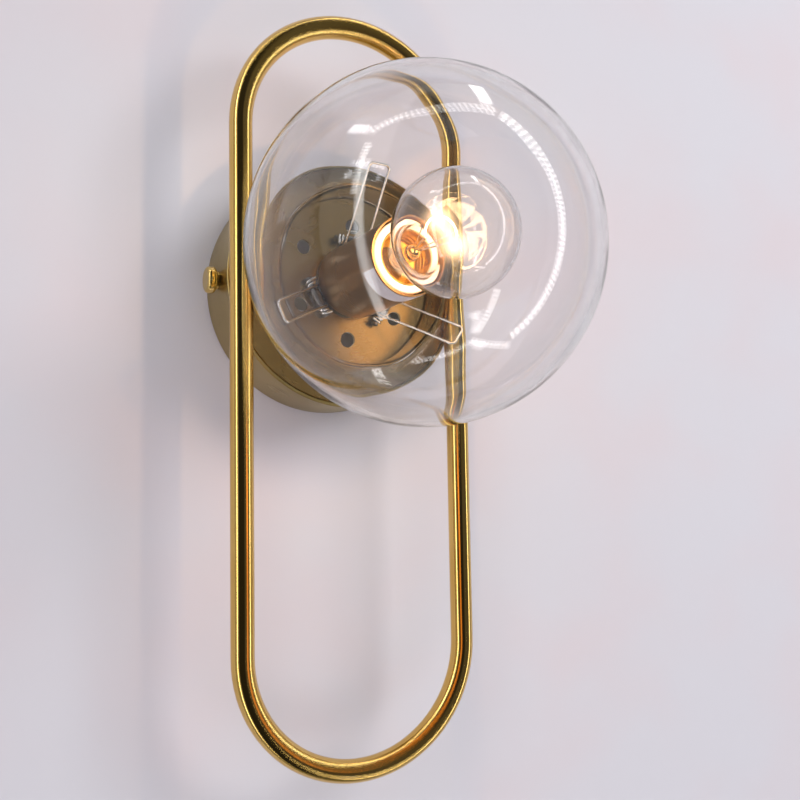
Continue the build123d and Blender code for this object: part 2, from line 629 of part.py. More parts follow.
def sleeve_label():
    """Thin bare strip wrapped part of the way round the sleeve near its mouth."""
    low = CANOPY_DEPTH + LABEL_LOW
    arc = LABEL_TO_ANGLE - LABEL_FROM_ANGLE
    side = Polyline(
        (SLEEVE_RADIUS, low),
        (SLEEVE_RADIUS + LABEL_THICKNESS, low),
        (SLEEVE_RADIUS + LABEL_THICKNESS, low + LABEL_WIDTH),
        (SLEEVE_RADIUS, low + LABEL_WIDTH),
        close=True,
    )
    return Rot(0, 0, LABEL_FROM_ANGLE) * revolve(make_face(Plane.XZ * side), Axis.Z, arc)


def holder_nipple():
    return tube(NIPPLE_RADIUS, NIPPLE_BORE_RADIUS, NIPPLE_FROM, NIPPLE_TO)


def hex_nut(low):
    across_corners = NUT_FLATS / math.cos(math.pi / 6)
    nut = Pos(0, 0, low) * extrude(RegularPolygon(across_corners / 2, 6), NUT_THICKNESS)
    return nut - disc(NIPPLE_RADIUS + FIT, low - CUT_PAST, low + NUT_THICKNESS + CUT_PAST)


def nipple_washer():
    return tube(WASHER_RADIUS, NIPPLE_RADIUS + FIT, PLATE_BACK - WASHER_THICKNESS, PLATE_BACK)


def earth_tag():
    """Ring tag clamped on the nipple, with a tail for the earth lead."""
    top = PLATE_BACK - WASHER_THICKNESS
    low = top - WASHER_THICKNESS
    tag = disc(EARTH_TAG_RADIUS, low, top)
    tag += block(0, EARTH_TAG_REACH, -EARTH_TAG_WIDTH / 2, EARTH_TAG_WIDTH / 2, low, top)
    return tag - disc(NIPPLE_RADIUS + FIT, low - CUT_PAST, top + CUT_PAST)


def holder_strap():
    """U-shaped steel strap that carries the porcelain above the nut."""
    half_width = STRAP_WIDTH / 2
    end = STRAP_HALF_LENGTH
    strap = block(-end, end, -half_width, half_width, SLEEVE_FLOOR_TOP, STRAP_TOP)
    for side in (-1, 1):
        low, high = sorted((side * (end - STRAP_THICKNESS), side * end))
        strap += block(low, high, -half_width, half_width, SLEEVE_FLOOR_TOP, PORCELAIN_BASE)
        low, high = sorted((side * (end - STRAP_TAB), side * end))
        strap += block(
            low, high, -half_width, half_width, PORCELAIN_BASE - STRAP_THICKNESS, PORCELAIN_BASE
        )
        centre = (side * HOLDER_SCREW_X, 0)
        hole_from = PORCELAIN_BASE - STRAP_THICKNESS - CUT_PAST
        strap -= disc(HOLDER_SCREW_RADIUS + FIT, hole_from, PORCELAIN_BASE + CUT_PAST, centre)
    return strap - disc(NIPPLE_RADIUS + FIT, 0, STRAP_TOP + CUT_PAST)


def lampholder_porcelain():
    """White insert: solid base with screw and rivet holes below a round socket with a narrower lip."""
    body = disc(PORCELAIN_RADIUS, PORCELAIN_BASE, PORCELAIN_TOP)
    body = fillet(body.edges().group_by(Axis.Z)[-1], PORCELAIN_ROUNDING)
    body -= disc(SOCKET_BORE_RADIUS, SOCKET_FLOOR, PORCELAIN_TOP - SOCKET_LIP_HEIGHT)
    body -= disc(SOCKET_LIP_RADIUS, SOCKET_FLOOR, PORCELAIN_TOP + CUT_PAST)
    hole_from, hole_to = PORCELAIN_BASE - CUT_PAST, SOCKET_FLOOR + CUT_PAST
    well_radius = HOLDER_SCREW_HEAD_RADIUS + HOLDER_SCREW_SUNK
    for side in (-1, 1):
        centre = (side * HOLDER_SCREW_X, 0)
        body -= disc(HOLDER_SCREW_RADIUS + FIT, hole_from, hole_to, centre)
        body -= disc(well_radius, SOCKET_FLOOR - HOLDER_SCREW_HEAD_HEIGHT, hole_to, centre)
    for y in (CENTRE_RIVET_Y, SHELL_RIVET_Y):
        body -= disc(RIVET_RADIUS + FIT, hole_from, hole_to, (0, y))
    return body


def holder_screws():
    """Two screws from the socket floor down into the strap's tabs."""
    shank_from = PORCELAIN_BASE - STRAP_THICKNESS - HOLDER_SCREW_PAST_STRAP
    head_from = SOCKET_FLOOR - HOLDER_SCREW_HEAD_HEIGHT
    head_to = SOCKET_FLOOR - HOLDER_SCREW_SUNK
    reach = HOLDER_SCREW_HEAD_RADIUS + CUT_PAST
    screws = []
    for side in (-1, 1):
        x = side * HOLDER_SCREW_X
        screw = disc(HOLDER_SCREW_RADIUS, shank_from, head_from, (x, 0))
        screw += disc(HOLDER_SCREW_HEAD_RADIUS, head_from, head_to, (x, 0))
        screws.append(screw - driver_slot(x - reach, x + reach, 0, head_to, SLOT_WIDTH, 1))
    return screws


def ring_thread(radius, depth_from, turns):
    """Edges of a rounded thread line in ring form: an arc out and an arc in for each pitch."""
    edges = []
    half = THREAD_PITCH / 2
    for k in range(2 * turns):
        low = depth_from + k * half
        swing = THREAD_DEPTH if k % 2 == 0 else -THREAD_DEPTH
        edges.append(ThreePointArc((radius, low), (radius + swing, low + half / 2), (radius, low + half)))
    return edges


def screw_shell():
    """Thin threaded shell of the socket, with a turned-in foot on the porcelain floor."""
    inner = THREAD_MEAN_RADIUS + THREAD_PLAY
    outer = inner + SHEET
    top = SHELL_THREAD_FROM + SHELL_TURNS * THREAD_PITCH
    edges = ring_thread(inner, SHELL_THREAD_FROM, SHELL_TURNS)
    edges += ring_thread(outer, SHELL_THREAD_FROM, SHELL_TURNS)
    edges.append(Line((inner, top), (outer, top)))
    foot = Polyline(
        (inner, SHELL_THREAD_FROM),
        (inner, SOCKET_FLOOR + SHEET),
        (SHELL_FOOT_RADIUS, SOCKET_FLOOR + SHEET),
        (SHELL_FOOT_RADIUS, SOCKET_FLOOR),
        (outer, SOCKET_FLOOR),
        (outer, SHELL_THREAD_FROM),
    )
    return spun(edges + list(foot.edges()))


def centre_contact():
    """Spring strip bent back over itself, from the floor of the socket up to the bulb's contact."""
    low = SOCKET_FLOOR
    top = BULB_BOTTOM - CONTACT_GAP
    sheet = CONTACT_THICKNESS
    foot = CENTRE_RIVET_Y - CONTACT_TAIL
    middle = (low + top) / 2
    reach = (top - low) / 2
    fold = CONTACT_FOLD_Y
    edges = [
        Line((foot, low), (fold, low)),
        ThreePointArc((fold, low), (fold + reach, middle), (fold, top)),
        Line((fold, top), (-CONTACT_OVERHANG, top)),
        Line((-CONTACT_OVERHANG, top), (-CONTACT_OVERHANG, top - sheet)),
        Line((-CONTACT_OVERHANG, top - sheet), (fold, top - sheet)),
        ThreePointArc((fold, top - sheet), (fold + reach - sheet, middle), (fold, low + sheet)),
        Line((fold, low + sheet), (foot, low + sheet)),
        Line((foot, low + sheet), (foot, low)),
    ]
    strip_plane = Plane(origin=(-CONTACT_WIDTH / 2, 0, 0), x_dir=(0, 1, 0), z_dir=(1, 0, 0))
    return extrude(strip_plane * make_face(Wire(edges)), CONTACT_WIDTH)


def contact_rivets():
    """Brass rivets that join the contacts to the terminals under the porcelain."""
    return [disc(RIVET_RADIUS, PORCELAIN_BASE, SOCKET_FLOOR, (0, y)) for y in (CENTRE_RIVET_Y, SHELL_RIVET_Y)]


def holder_terminals():
    """Two small brass blocks under the porcelain, each with a wire hole and a screw hole."""
    half = TERMINAL_SIZE / 2
    bore_to = TERMINAL_LOW + TERMINAL_SIZE * TERMINAL_BORE_SHARE
    blocks = []
    for y in (CENTRE_RIVET_Y, SHELL_RIVET_Y):
        body = block(-half, half, y - half, y + half, TERMINAL_LOW, PORCELAIN_BASE)
        body -= disc(LEAD_RADIUS + FIT, TERMINAL_LOW - CUT_PAST, bore_to, (0, y))
        body -= side_disc(TERMINAL_SCREW_RADIUS + FIT, LEAD_RADIUS, half + CUT_PAST, y, TERMINAL_LOW + half)
        blocks.append(body)
    return blocks


def holder_terminal_screws():
    """Grub screws that clamp the leads in the terminals."""
    end = TERMINAL_SIZE / 2 + TERMINAL_SCREW_PROUD
    z = TERMINAL_LOW + TERMINAL_SIZE / 2
    reach = TERMINAL_SCREW_RADIUS + CUT_PAST
    screws = []
    for y in (CENTRE_RIVET_Y, SHELL_RIVET_Y):
        screw = side_disc(TERMINAL_SCREW_RADIUS, LEAD_RADIUS + TERMINAL_SCREW_GAP, end, y, z)
        half_slot = SMALL_SLOT_WIDTH / 2
        slot = block(end - SLOT_DEPTH, end + CUT_PAST, y - half_slot, y + half_slot, z - reach, z + reach)
        screws.append(screw - slot)
    return screws


# ---- bulb ---------------------------------------------------------------------------------------
def bulb_glass():
    """Thin clear envelope with a narrow neck that sits in the cap."""
    outer, inner = (
        ball_on_neck(BULB_NECK_RADIUS - wall, BULB_NECK_BLEND + wall, BULB_RADIUS - wall, BULB_CENTRE)
        for wall in (0.0, BULB_WALL)
    )
    foot_inner = BULB_FOOT_RADIUS - BULB_WALL
    foot = Polyline(
        inner[0],
        (foot_inner, CAP_THREAD_TO),
        (foot_inner, BULB_FOOT),
        (BULB_FOOT_RADIUS, BULB_FOOT),
        (BULB_FOOT_RADIUS, CAP_THREAD_TO),
        outer[0],
    )
    edges = [
        ThreePointArc(*outer[:3]),
        ThreePointArc(*outer[2:]),
        Line(outer[-1], inner[-1]),
        ThreePointArc(*inner[2:]),
        ThreePointArc(*inner[:3]),
    ]
    return spun(edges + list(foot.edges()))


def bulb_cap():
    """Screw cap: thread in ring form, then a plain skirt round the neck of the glass."""
    outer = THREAD_MEAN_RADIUS
    inner = outer - SHEET
    shoulder = CAP_THREAD_TO + CAP_SHOULDER_RISE
    skirt_inner = CAP_SKIRT_RADIUS - SHEET
    foot_top = CAP_THREAD_FROM - CAP_FOOT_DROP
    skirt = Polyline(
        (outer, CAP_THREAD_TO),
        (CAP_SKIRT_RADIUS, shoulder),
        (CAP_SKIRT_RADIUS, CAP_TOP),
        (skirt_inner, CAP_TOP),
        (skirt_inner, shoulder),
        (inner, CAP_THREAD_TO),
    )
    foot = Polyline(
        (inner, CAP_THREAD_FROM),
        (CAP_FOOT_RADIUS, foot_top),
        (CAP_FOOT_RADIUS, foot_top - SHEET),
        (outer - CAP_FOOT_TAPER, CAP_THREAD_FROM - SHEET),
        (outer, CAP_THREAD_FROM),
    )
    edges = ring_thread(outer, CAP_THREAD_FROM, CAP_TURNS)
    edges += ring_thread(inner, CAP_THREAD_FROM, CAP_TURNS)
    return spun(edges + list(skirt.edges()) + list(foot.edges()))


def bulb_insulator():
    """Dark glass disc between the cap and its contact."""
    low = BULB_BOTTOM + CAP_CONTACT_HEIGHT
    rim_low = CAP_THREAD_FROM - CAP_FOOT_DROP - SHEET
    top = CAP_THREAD_FROM - INSULATOR_TOP_DROP
    rim = CAP_FOOT_RADIUS
    return spun_points([(0, low), (CAP_CONTACT_RADIUS, low), (rim, rim_low), (rim, top), (0, top)])


def bulb_contact():
    """Solder button at the foot of the cap."""
    button = disc(CAP_CONTACT_RADIUS, BULB_BOTTOM, BULB_BOTTOM + CAP_CONTACT_HEIGHT)
    return fillet(button.edges().group_by(Axis.Z)[0], CAP_CONTACT_ROUNDING)


def bulb_stem():
    """Glass stem: a flare sealed to the neck, a tube, and a pressed top that holds the wires."""
    foot = BULB_FOOT + STEM_FOOT_RISE
    flare = BULB_FOOT_RADIUS - BULB_WALL
    return spun_points(
        [
            (0, foot + STEM_FLARE_HEIGHT),
            (STEM_RADIUS - STEM_WALL, foot + STEM_FLARE_HEIGHT - STEM_WALL),
            (flare, foot),
            (flare, foot + STEM_WALL),
            (STEM_RADIUS, foot + STEM_FLARE_HEIGHT + STEM_WALL),
            (STEM_RADIUS, STEM_TOP - STEM_PINCH),
            (STEM_TIP_RADIUS, STEM_TOP),
            (0, STEM_TOP),
        ]
    )


def bulb_lead_wires():
    """Two bent wires from the stem out to the ends of the filament."""
    wires = []
    for side in (-1, 1):
        start = Vector(side * LEAD_IN_ROOT, 0, STEM_TOP - LEAD_IN_SUNK)
        turn = Vector(side * (LEAD_IN_ROOT + LEAD_IN_RADIUS), 0, STEM_TOP + LEAD_IN_RISE)
        end = Vector(side * LEAD_IN_SPREAD, 0, FILAMENT_DEPTH)
        path, _ = rounded_route([start, turn, end])
        wires.append(wire_along(path.edges(), LEAD_IN_RADIUS))
    return wires


def filament_supports():
    """Fine hooks from the stem's top to the bow of the filament."""
    supports = []
    for angle in SUPPORT_ANGLES:
        out = Vector(math.cos(math.radians(angle)), math.sin(math.radians(angle)), 0)
        start = out * SUPPORT_ROOT + Vector(0, 0, STEM_TOP - SUPPORT_SUNK)
        end = out * FILAMENT_RING_RADIUS + Vector(0, 0, FILAMENT_DEPTH)
        supports.append(wire_along([Line(start, end)], SUPPORT_RADIUS))
    return supports


def bulb_filament():
    """Fine coiled filament, drawn as one bowed wire between the two lead wires."""
    z = FILAMENT_DEPTH + FILAMENT_RADIUS
    left = Vector(-LEAD_IN_SPREAD, 0, z)
    right = Vector(LEAD_IN_SPREAD, 0, z)
    bow = ThreePointArc(left, Vector(0, FILAMENT_RING_RADIUS, z), right)
    return wire_along([bow], FILAMENT_RADIUS)


# ---- wiring inside the canopy -------------------------------------------------------------------
def way_positions():
    first = -(BLOCK_WAYS - 1) / 2 * BLOCK_WAY_SPACING
    return [first + k * BLOCK_WAY_SPACING for k in range(BLOCK_WAYS)]


def screw_rows():
    """Where the clamping screws stand along each way."""
    return (BLOCK_Y - BLOCK_WIDTH / 4, BLOCK_Y + BLOCK_WIDTH / 4)


def terminal_block():
    """Three-way block with wire holes through it and a screw well over each end."""
    half_length, half_width = BLOCK_LENGTH / 2, BLOCK_WIDTH / 2
    back = BLOCK_FRONT - BLOCK_HEIGHT
    body = block(-half_length, half_length, BLOCK_Y - half_width, BLOCK_Y + half_width, back, BLOCK_FRONT)
    for x in way_positions():
        hole = Rot(90, 0, 0) * Cylinder(BLOCK_BORE_RADIUS, BLOCK_WIDTH + 2 * CUT_PAST)
        body -= Pos(x, BLOCK_Y, BLOCK_AXIS) * hole
        for y in screw_rows():
            body -= disc(BLOCK_SCREW_RADIUS + FIT, back - CUT_PAST, BLOCK_AXIS, (x, y))
    return body


def block_screws():
    """Clamping screws, one at each end of each way."""
    face = BLOCK_FRONT - BLOCK_HEIGHT + BLOCK_SCREW_SUNK
    reach = BLOCK_SCREW_RADIUS + CUT_PAST
    screws = []
    for x in way_positions():
        for y in screw_rows():
            screw = disc(BLOCK_SCREW_RADIUS, face, BLOCK_AXIS - BLOCK_BORE_RADIUS, (x, y))
            screws.append(screw - driver_slot(x - reach, x + reach, y, face, SMALL_SLOT_WIDTH, -1))
    return screws


def block_tubes():
    """Brass tubes that line the ways of the block."""
    tubes = []
    for x in way_positions():
        outer = Rot(90, 0, 0) * Cylinder(BLOCK_BORE_RADIUS, BLOCK_WIDTH - 2 * TUBE_INSET)
        inner = Rot(90, 0, 0) * Cylinder(LEAD_RADIUS + LEAD_PLAY, BLOCK_WIDTH)
        lining = Pos(x, BLOCK_Y, BLOCK_AXIS) * (outer - inner)
        for y in screw_rows():
            lining -= disc(BLOCK_SCREW_RADIUS + FIT, 0, BLOCK_AXIS, (x, y))
        tubes.append(lining)
    return tubes


def block_pad():
    """Adhesive pad that holds the block to the back of the plate."""
    half_length = BLOCK_LENGTH / 2 - PAD_INSET
    half_width = BLOCK_WIDTH / 2 - PAD_INSET
    return block(
        -half_length, half_length, BLOCK_Y - half_width, BLOCK_Y + half_width, BLOCK_FRONT, PLATE_BACK
    )


def lead(points, name):
    path, radii = rounded_route(points)
    wire = wire_along(path.edges(), LEAD_RADIUS)
    expected = math.pi * LEAD_RADIUS**2 * path.length
    print(name, "radii", [round(r, 1) for r in radii], "volume ratio", round(wire.volume / expected, 4))
    return wire


def side_of_nipple(side):
    """Where a lead runs through the nipple, off its axis to one side and clear of its bore."""
    off = side * (NIPPLE_BORE_RADIUS - LEAD_RADIUS - LEAD_PLAY) * NIPPLE_SHARE
    return off, off


def live_lead():
    """From the left way of the block through the nipple to the centre contact's terminal."""
    x = way_positions()[0]
    across = side_of_nipple(-1)
    return lead(
        [
            (x, screw_rows()[0], BLOCK_AXIS),
            (x, LEAD_DROP_Y, BLOCK_AXIS - LEAD_SAG),
            (x * 0.45, 7, NIPPLE_FROM - 8),
            (*across, NIPPLE_FROM - 4),
            (*across, NIPPLE_TO + 2),
            (0, CENTRE_RIVET_Y, TERMINAL_LOW - 4),
            (0, CENTRE_RIVET_Y, TERMINAL_LOW + LEAD_IN_TERMINAL),
        ],
        "live lead",
    )


def neutral_lead():
    """From the middle way of the block through the nipple to the shell's terminal."""
    across = side_of_nipple(1)
    return lead(
        [
            (0, screw_rows()[0], BLOCK_AXIS),
            (0.6, LEAD_DROP_Y, BLOCK_AXIS - LEAD_SAG),
            (1.8, 10, NIPPLE_FROM - 8),
            (*across, NIPPLE_FROM - 5),
            (*across, NIPPLE_TO + 3),
            (0, SHELL_RIVET_Y, TERMINAL_LOW - 3.5),
            (0, SHELL_RIVET_Y, TERMINAL_LOW + LEAD_IN_TERMINAL),
        ],
        "neutral lead",
    )


def earth_lead():
    """From the right way of the block to the tag on the nipple."""
    x = way_positions()[-1]
    tag_back = PLATE_BACK - 2 * WASHER_THICKNESS
    return lead(
        [
            (x, screw_rows()[0], BLOCK_AXIS),
            (x + 0.8, LEAD_DROP_Y, BLOCK_AXIS - LEAD_SAG),
            (x + 3.6, 9, BLOCK_AXIS - 4),
            (EARTH_LEAD_X, 0, tag_back - 7),
            (EARTH_LEAD_X, 0, tag_back),
        ],
        "earth lead",
    )


# ---- writing ------------------------------------------------------------------------------------
def least_coil_gap():
    """Smallest space between neighbouring turns of a clip's coils, measured on points."""
    coils = clip_half(1)[1 : 2 * CLIP_COIL_TURNS + 1]
    samples = 48
    points = [arc @ (k / samples) for arc in coils for k in range(samples)]
    apart = samples + samples // 4  # skips the points that follow each other along the wire
    least = min(
        (points[i] - points[j]).length for i in range(len(points)) for j in range(i + apart, len(points))
    )
    return least - 2 * CLIP_WIRE_RADIUS


def nodes():
    """Every node of the light by name: one solid, or a list of like solids."""
    right_screw = thumb_screw()
    pieces = {
        "wall_bracket": wall_bracket(),
        "bracket_earth_screw": bracket_earth_screw(),
        "thumb_screw_right": right_screw,
        "thumb_screw_left": mirrored_x(right_screw),
        "canopy_shell": canopy_shell(),
        "front_plate": front_plate(),
        "loop_tube": loop_tube(),
        "loop_inserts": loop_inserts(),
        "loop_screws": loop_screws(),
        "glass_globe": glass_globe(),
        "clip_carrier": clip_carrier(),
        "clip_pins": clip_pins(),
        "lampholder_sleeve": lampholder_sleeve(),
        "sleeve_label": sleeve_label(),
        "holder_nipple": holder_nipple(),
        "nipple_washer": nipple_washer(),
        "earth_tag": earth_tag(),
        "nipple_back_nut": hex_nut(PLATE_BACK - 2 * WASHER_THICKNESS - NUT_THICKNESS),
        "nipple_front_nut": hex_nut(STRAP_TOP),
        "holder_strap": holder_strap(),
        "lampholder_porcelain": lampholder_porcelain(),
        "holder_screws": holder_screws(),
        "screw_shell": screw_shell(),
        "centre_contact": centre_contact(),
        "contact_rivets": contact_rivets(),
        "holder_terminals": holder_terminals(),
        "holder_terminal_screws": holder_terminal_screws(),
        "bulb_glass": bulb_glass(),
        "bulb_cap": bulb_cap(),
        "bulb_insulator": bulb_insulator(),
        "bulb_contact": bulb_contact(),
        "bulb_stem": bulb_stem(),
        "bulb_lead_wires": bulb_lead_wires(),
        "filament_supports": filament_supports(),
        "bulb_filament": bulb_filament(),
        "terminal_block": terminal_block(),
        "block_screws": block_screws(),
        "block_tubes": block_tubes(),
        "block_pad": block_pad(),
        "live_lead": live_lead(),
        "neutral_lead": neutral_lead(),
        "earth_lead": earth_lead(),
    }
    for name, angle in zip(("top", "left", "right"), clip_angles()):
        pieces[f"spring_clip_{name}"] = spring_clip(angle)
    return pieces


def main():
    os.makedirs("parts", exist_ok=True)
    on_wall = Plane(origin=(0, 0, 0), x_dir=(1, 0, 0), z_dir=(0, -1, 0)).location
    print("clip arm", round(CLIP_ARM_LENGTH, 2), "rest angle", round(CLIP_REST_ANGLE, 2))
    print("least gap in the clip coils", round(least_coil_gap(), 2))
    for name, piece in nodes().items():
        solids = piece if isinstance(piece, list) else [piece]
        placed = [on_wall * solid for solid in solids]
        whole = placed[0] if len(placed) == 1 else Compound(children=placed)
        export_step(whole, f"parts/{name}.step")


main()
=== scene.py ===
"""Looks of the globe wall sconce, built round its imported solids.

Metres, +Z up the wall, the light faces -Y. The wall is the plane y = 0. Each sub-assembly is a
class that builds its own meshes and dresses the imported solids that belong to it.
"""
import logging
import math
from dataclasses import dataclass
from enum import Enum
from typing import Callable, Iterable, Sequence

import bmesh
import bpy
from mathutils import Matrix, Vector


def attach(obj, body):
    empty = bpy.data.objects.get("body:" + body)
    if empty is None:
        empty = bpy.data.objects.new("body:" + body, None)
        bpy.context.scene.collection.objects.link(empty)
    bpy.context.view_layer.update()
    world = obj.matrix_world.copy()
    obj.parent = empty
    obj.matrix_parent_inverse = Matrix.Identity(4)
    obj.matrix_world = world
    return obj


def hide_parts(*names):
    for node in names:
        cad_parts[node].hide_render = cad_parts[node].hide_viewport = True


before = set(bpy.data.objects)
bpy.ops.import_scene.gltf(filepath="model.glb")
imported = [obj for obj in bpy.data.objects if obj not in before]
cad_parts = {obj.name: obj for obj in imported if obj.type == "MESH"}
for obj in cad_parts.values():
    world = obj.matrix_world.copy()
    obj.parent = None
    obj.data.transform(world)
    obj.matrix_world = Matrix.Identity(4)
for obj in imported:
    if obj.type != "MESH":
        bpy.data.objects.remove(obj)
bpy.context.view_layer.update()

LOG = logging.getLogger("sconce")
MM = 0.001

Colour = tuple[float, float, float]
Point = tuple[float, float, float]
Spot = tuple[float, float]

# The oval loop: the height of its middle, and half the length of its straight legs.
LOOP_MIDDLE = -55.5 * MM
LOOP_STRAIGHT_HALF = 130.45 * MM
MERGE_WITHIN = 1e-6
BLEND_STEPS = 10


# ---- shading -------------------------------------------------------------------------------------
class Field:
    """A shader socket on which Python's operators add Math nodes."""

    def __init__(self, shading: "Shading", socket: bpy.types.NodeSocket) -> None:
        """Wraps one output socket of a node tree."""
        self.shading = shading
        self.socket = socket

    def _math(self, operation: str, *values: "Field | float") -> "Field":
        """Adds one Math node on the given values."""
        inputs = dict(enumerate(values))
        return self.shading.node("ShaderNodeMath", {"operation": operation}, inputs)

    def __add__(self, other: "Field | float") -> "Field":
        """Sum."""
        return self._math("ADD", self, other)

    def __radd__(self, other: float) -> "Field":
        """Sum with a number on the left."""
        return self._math("ADD", other, self)

    def __sub__(self, other: "Field | float") -> "Field":
        """Difference."""
        return self._math("SUBTRACT", self, other)

    def __rsub__(self, other: float) -> "Field":
        """Difference from a number."""
        return self._math("SUBTRACT", other, self)

    def __mul__(self, other: "Field | float") -> "Field":
        """Product."""
        return self._math("MULTIPLY", self, other)

    def __rmul__(self, other: float) -> "Field":
        """Product with a number on the left."""
        return self._math("MULTIPLY", other, self)

    def __truediv__(self, other: "Field | float") -> "Field":
        """Quotient."""
        return self._math("DIVIDE", self, other)

    def __rtruediv__(self, other: float) -> "Field":
        """A number over this."""
        return self._math("DIVIDE", other, self)

    def __pow__(self, other: float) -> "Field":
        """Power."""
        return self._math("POWER", self, other)

    def size(self) -> "Field":
        """Absolute value."""
        return self._math("ABSOLUTE", self)

    def root(self) -> "Field":
        """Square root."""
        return self._math("SQRT", self)

    def least(self, other: "Field | float") -> "Field":
        """The smaller of two values."""
        return self._math("MINIMUM", self, other)

    def most(self, other: "Field | float") -> "Field":
        """The larger of two values."""
        return self._math("MAXIMUM", self, other)

    def bearing(self, other: "Field") -> "Field":
        """Angle in radians of the direction with this sine and the other cosine."""
        return self._math("ARCTAN2", self, other)

    def wave(self) -> "Field":
        """Sine."""
        return self._math("SINE", self)

    def rise(self, low: float, high: float) -> "Field":
        """Smooth step from 0 at low to 1 at high; high may be the smaller one."""
        if low > high:
            return 1 - self.rise(high, low)
        return self.shading.node(
            "ShaderNodeMapRange",
            {"interpolation_type": "SMOOTHSTEP"},
            {"Value": self, "From Min": low, "From Max": high},
        )


class Shading:
    """The node tree of one material or of the world."""

    def __init__(self, owner: bpy.types.Material | bpy.types.World) -> None:
        """Starts an empty node tree on its owner."""
        owner.use_nodes = True
        self.tree = owner.node_tree
        self.tree.nodes.clear()
        self.is_world = isinstance(owner, bpy.types.World)

    def node(
        self, kind: str, settings: dict | None = None, values: dict | None = None,
        out: int | str = 0,
    ) -> Field:
        """Adds a node.

        Args:
            kind: the node's type.
            settings: its properties, which are set first.
            values: numbers, colours or Fields for its input sockets, by name or index.
            out: the output socket that is handed back.

        Returns:
            The output socket as a Field.
        """
        made = self.tree.nodes.new(kind)
        for name, value in (settings or {}).items():
            setattr(made, name, value)
        for key, value in (values or {}).items():
            socket = made.inputs[key]
            if isinstance(value, Field):
                self.tree.links.new(value.socket, socket)
            elif socket.type == "RGBA" and len(value) == 3:
                socket.default_value = (*value, 1.0)
            else:
                socket.default_value = value
        return Field(self, made.outputs[out])

    def ray(self, kind: str) -> Field:
        """One output of Light Path: 1 on rays of this kind, or a count of bounces."""
        return self.node("ShaderNodeLightPath", out=kind)

    def mirrored(self) -> Field:
        """1 on all rays that a glossy surface has thrown back, also once they are in glass."""
        return self.ray("Glossy Depth").least(1.0)

    def place(self) -> Field:
        """Object coordinates, in metres."""
        return self.node("ShaderNodeTexCoord", out="Object")

    def split(self, vector: Field) -> tuple[Field, Field, Field]:
        """The three parts of a vector."""
        apart = self.node("ShaderNodeSeparateXYZ", values={0: vector})
        outputs = apart.socket.node.outputs
        return Field(self, outputs[0]), Field(self, outputs[1]), Field(self, outputs[2])

    def join(self, x: "Field | float", y: "Field | float", z: "Field | float") -> Field:
        """A vector from three parts."""
        return self.node("ShaderNodeCombineXYZ", values={0: x, 1: y, 2: z})

    def vector(
        self, operation: str, one: Field, other: "Field | Point", out: str = "Vector"
    ) -> Field:
        """One Vector Math node."""
        return self.node("ShaderNodeVectorMath", {"operation": operation}, {0: one, 1: other}, out)

    def dot(self, one: Field, other: Point) -> Field:
        """Dot product with a fixed vector."""
        return self.vector("DOT_PRODUCT", one, other, "Value")

    def blend(
        self, factor: "Field | float", one: "Field | Colour", other: "Field | Colour"
    ) -> Field:
        """A colour between two colours."""
        return self.node("ShaderNodeMix", {"data_type": "RGBA"}, {0: factor, 6: one, 7: other}, 2)

    def mix(self, factor: Field, one: Field, other: Field) -> Field:
        """A shader between two shaders."""
        return self.node("ShaderNodeMixShader", values={0: factor, 1: one, 2: other})

    def background(self, colour: Colour, strength: "Field | float") -> Field:
        """A shader of the world."""
        return self.node("ShaderNodeBackground", values={"Color": colour, "Strength": strength})

    def noise(
        self, vector: Field, scale: float, detail: float = 2.0, roughness: float = 0.5
    ) -> Field:
        """Noise from 0 to 1 on a vector."""
        sizes = {"Vector": vector, "Scale": scale, "Detail": detail, "Roughness": roughness}
        return self.node("ShaderNodeTexNoise", values=sizes)

    def specks(self, vector: Field, scale: float, radius: float) -> Field:
        """Sparse round specks: 1 inside a speck and 0 elsewhere."""
        values = {"Vector": vector, "Scale": scale, "Randomness": 1.0}
        return self.node("ShaderNodeTexVoronoi", values=values).rise(radius, radius * 0.5)

    def relief(self, height: Field, strength: float, distance: float) -> Field:
        """A bump normal."""
        values = {"Strength": strength, "Distance": distance, "Height": height}
        return self.node("ShaderNodeBump", values=values)

    def show(self, shader: Field, volume: bool = False) -> None:
        """Links a shader to the output."""
        kind = "ShaderNodeOutputWorld" if self.is_world else "ShaderNodeOutputMaterial"
        made = self.tree.nodes.new(kind)
        self.tree.links.new(shader.socket, made.inputs["Volume" if volume else "Surface"])


def new_shading(name: str) -> tuple[bpy.types.Material, Shading]:
    """A new material and its empty node tree."""
    material = bpy.data.materials.new(name)
    return material, Shading(material)


class Grain(Enum):
    """The way that the fine lines of a metal run."""

    PLAIN = "along the axes, stretched"
    LOOP = "along the oval loop"
    RINGS = "in rings round the light's axis"


